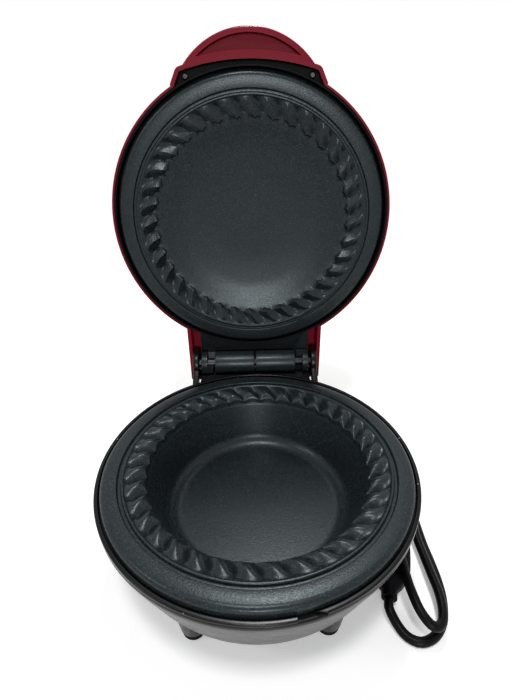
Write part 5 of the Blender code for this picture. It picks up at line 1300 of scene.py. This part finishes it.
# %% Screws
def pan_screw(name, radius, height, shank, seat, end):
    """A screw whose head points down from its seat and whose shank rises to its end."""
    profile = rounded(
        [
            (0.0, seat - height, 0),
            (0.7 * radius, seat - height, radius / 2),
            (radius, seat - 0.55 * height, 0.3 * radius),
            (radius, seat, 0.0001),
            (shank, seat, 0),
            (shank, end, 0.0002),
            (0.0, end, 0),
        ],
        4,
    )
    screw = turned(name, profile, 40)
    long, wide, deep = 0.62 * radius, 0.14 * radius, seat - 0.45 * height
    for span, thick in ((long, wide), (wide, long)):
        cut(screw, block("slot", (-span, -thick, seat - 2 * height), (span, thick, deep)))
    return screw


def set_screw(name, spot, half, solid, sizes, turn):
    """Make a screw of these sizes, turn its cross and set it at its spot on one half."""
    screw = pan_screw(name, *sizes)
    screw.data.transform(Matrix.Translation((*spot, 0)) @ Matrix.Rotation(turn, 4, "Z"))
    fitted(screw, half, solid, angle=radians(30))


for number, spot in enumerate(SCREW_SPOTS, 1):
    sizes = (0.0030, 0.0016, 0.0014, SCREW_SEAT, -BOWL_DEPTH - 0.0019)
    set_screw(f"base_pan_screw_{number}", spot, "base", f"base_screw_{number}", sizes, radians(35 * number))
for number, spot in enumerate(LINER_SCREWS, 1):
    sizes = (0.0014, 0.0009, 0.0009, CRESCENT_UNDER, 0.0085)
    turn = radians(20 + 30 * number)
    set_screw(f"liner_pan_screw_{number}", spot, "lid", f"liner_screw_{number}", sizes, turn)

# %% Hinge pin
PIN_RADIUS, PIN_HEAD, PIN_HALF = 0.0025, 0.0038, 0.0319
pin_profile = rounded(
    [
        (0.0, -PIN_HALF, 0),
        (PIN_HEAD, -PIN_HALF, 0.0006),
        (PIN_HEAD, -PIN_HALF + 0.0009, 0.0001),
        (PIN_RADIUS, -PIN_HALF + 0.0009, 0),
        (PIN_RADIUS, PIN_HALF, 0.0004),
        (0.0, PIN_HALF, 0),
    ]
)
across = Matrix.Translation((0, HINGE_Y, HINGE_Z)) @ Matrix.Rotation(pi / 2, 4, "Y")
fitted(turned("hinge_rivet", pin_profile, 48, across), "base", "hinge_pin")
catch = EAR_OUTER - 0.0012
catch_profile = rounded(
    [
        (PIN_RADIUS + CLEAR, catch, 0),
        (PIN_RADIUS + CLEAR, catch + 0.0008, 0),
        (PIN_HEAD, catch + 0.0008, 0.0003),
        (PIN_HEAD, catch, 0),
    ]
)
fitted(turned("push_on_retainer", catch_profile, 48, across), "base", "pin_retainer")

# %% Plug
PLUG_LONG = 0.0280
PLUG_STEPS = 72
BLADE_SPREAD, BLADE_LONG, BLADE_HALF, BLADE_TIP, BLADE_HIGH = 0.00635, 0.0160, 0.00075, 0.0012, 0.00315
plug_rows = []
for along, half, thick, soft in [
    (-0.0040, 0.0030, 0.0030, 1.0),
    (-0.0010, 0.0031, 0.0031, 1.0),
    (0.0006, 0.0044, 0.0040, 0.8),
    (0.0022, 0.0054, 0.0046, 0.6),
    (0.0050, 0.0069, 0.0047, 0.45),
    (0.0080, 0.0078, 0.0047, 0.4),
    (0.0130, 0.0080, 0.0047, 0.4),
    (0.0200, 0.0080, 0.0047, 0.4),
    (0.0262, 0.0080, 0.0047, 0.4),
    (0.0274, 0.0078, 0.0045, 0.4),
    (0.0280, 0.0072, 0.0040, 0.4),
]:
    outline = []
    for step in range(PLUG_STEPS):
        angle = 2 * pi * step / PLUG_STEPS
        x, z = (copysign(abs(part) ** soft, part) for part in (cos(angle), sin(angle)))
        outline.append(Vector((half * x, along, thick * z)))
    plug_rows.append(outline)
plug_matrix = Matrix.Translation(PLUG_PLACE) @ Matrix.Rotation(-PLUG_TURN, 4, "Z")
moulding = skin("plug_moulding", plug_rows, (0, -0.0040, 0), (0, PLUG_LONG, 0))
GRIPS, GRIP_START, GRIP_SPACING, GRIP_WIDTH, GRIP_HALF = 5, 0.0100, 0.0026, 0.0010, 0.0056
grips = []
for side in (-1, 1):
    for groove in range(GRIPS):
        y = GRIP_START + GRIP_SPACING * groove
        low, high = (-GRIP_HALF, y, side * 0.0043), (GRIP_HALF, y + GRIP_WIDTH, side * 0.0060)
        grips.append(block("grip", low, high, edge=0.0002))
cut(moulding, *grips)
moulding.data.transform(plug_matrix)
fitted(moulding, "base", "plug_body")
for number, side in enumerate((-1, 1), 1):
    x, start, tip = side * BLADE_SPREAD, PLUG_LONG + CLEAR, PLUG_LONG + BLADE_LONG
    left, right, shoulder = x - BLADE_HALF, x + BLADE_HALF, tip - BLADE_TIP
    blade = [(left, start), (right, start), (right, shoulder)]
    blade += [(x + 0.0003, tip), (x - 0.0003, tip), (left, shoulder)]
    pin = slab(f"plug_blade_{number}", blade, -BLADE_HIGH, BLADE_HIGH, edge=0.0002)
    cut(pin, rod("eye", 0.0016, (x - 0.003, tip - 0.0040, 0), (x + 0.003, tip - 0.0040, 0), 32))
    pin.data.transform(plug_matrix)
    fitted(pin, "base", f"plug_pin_{number}")
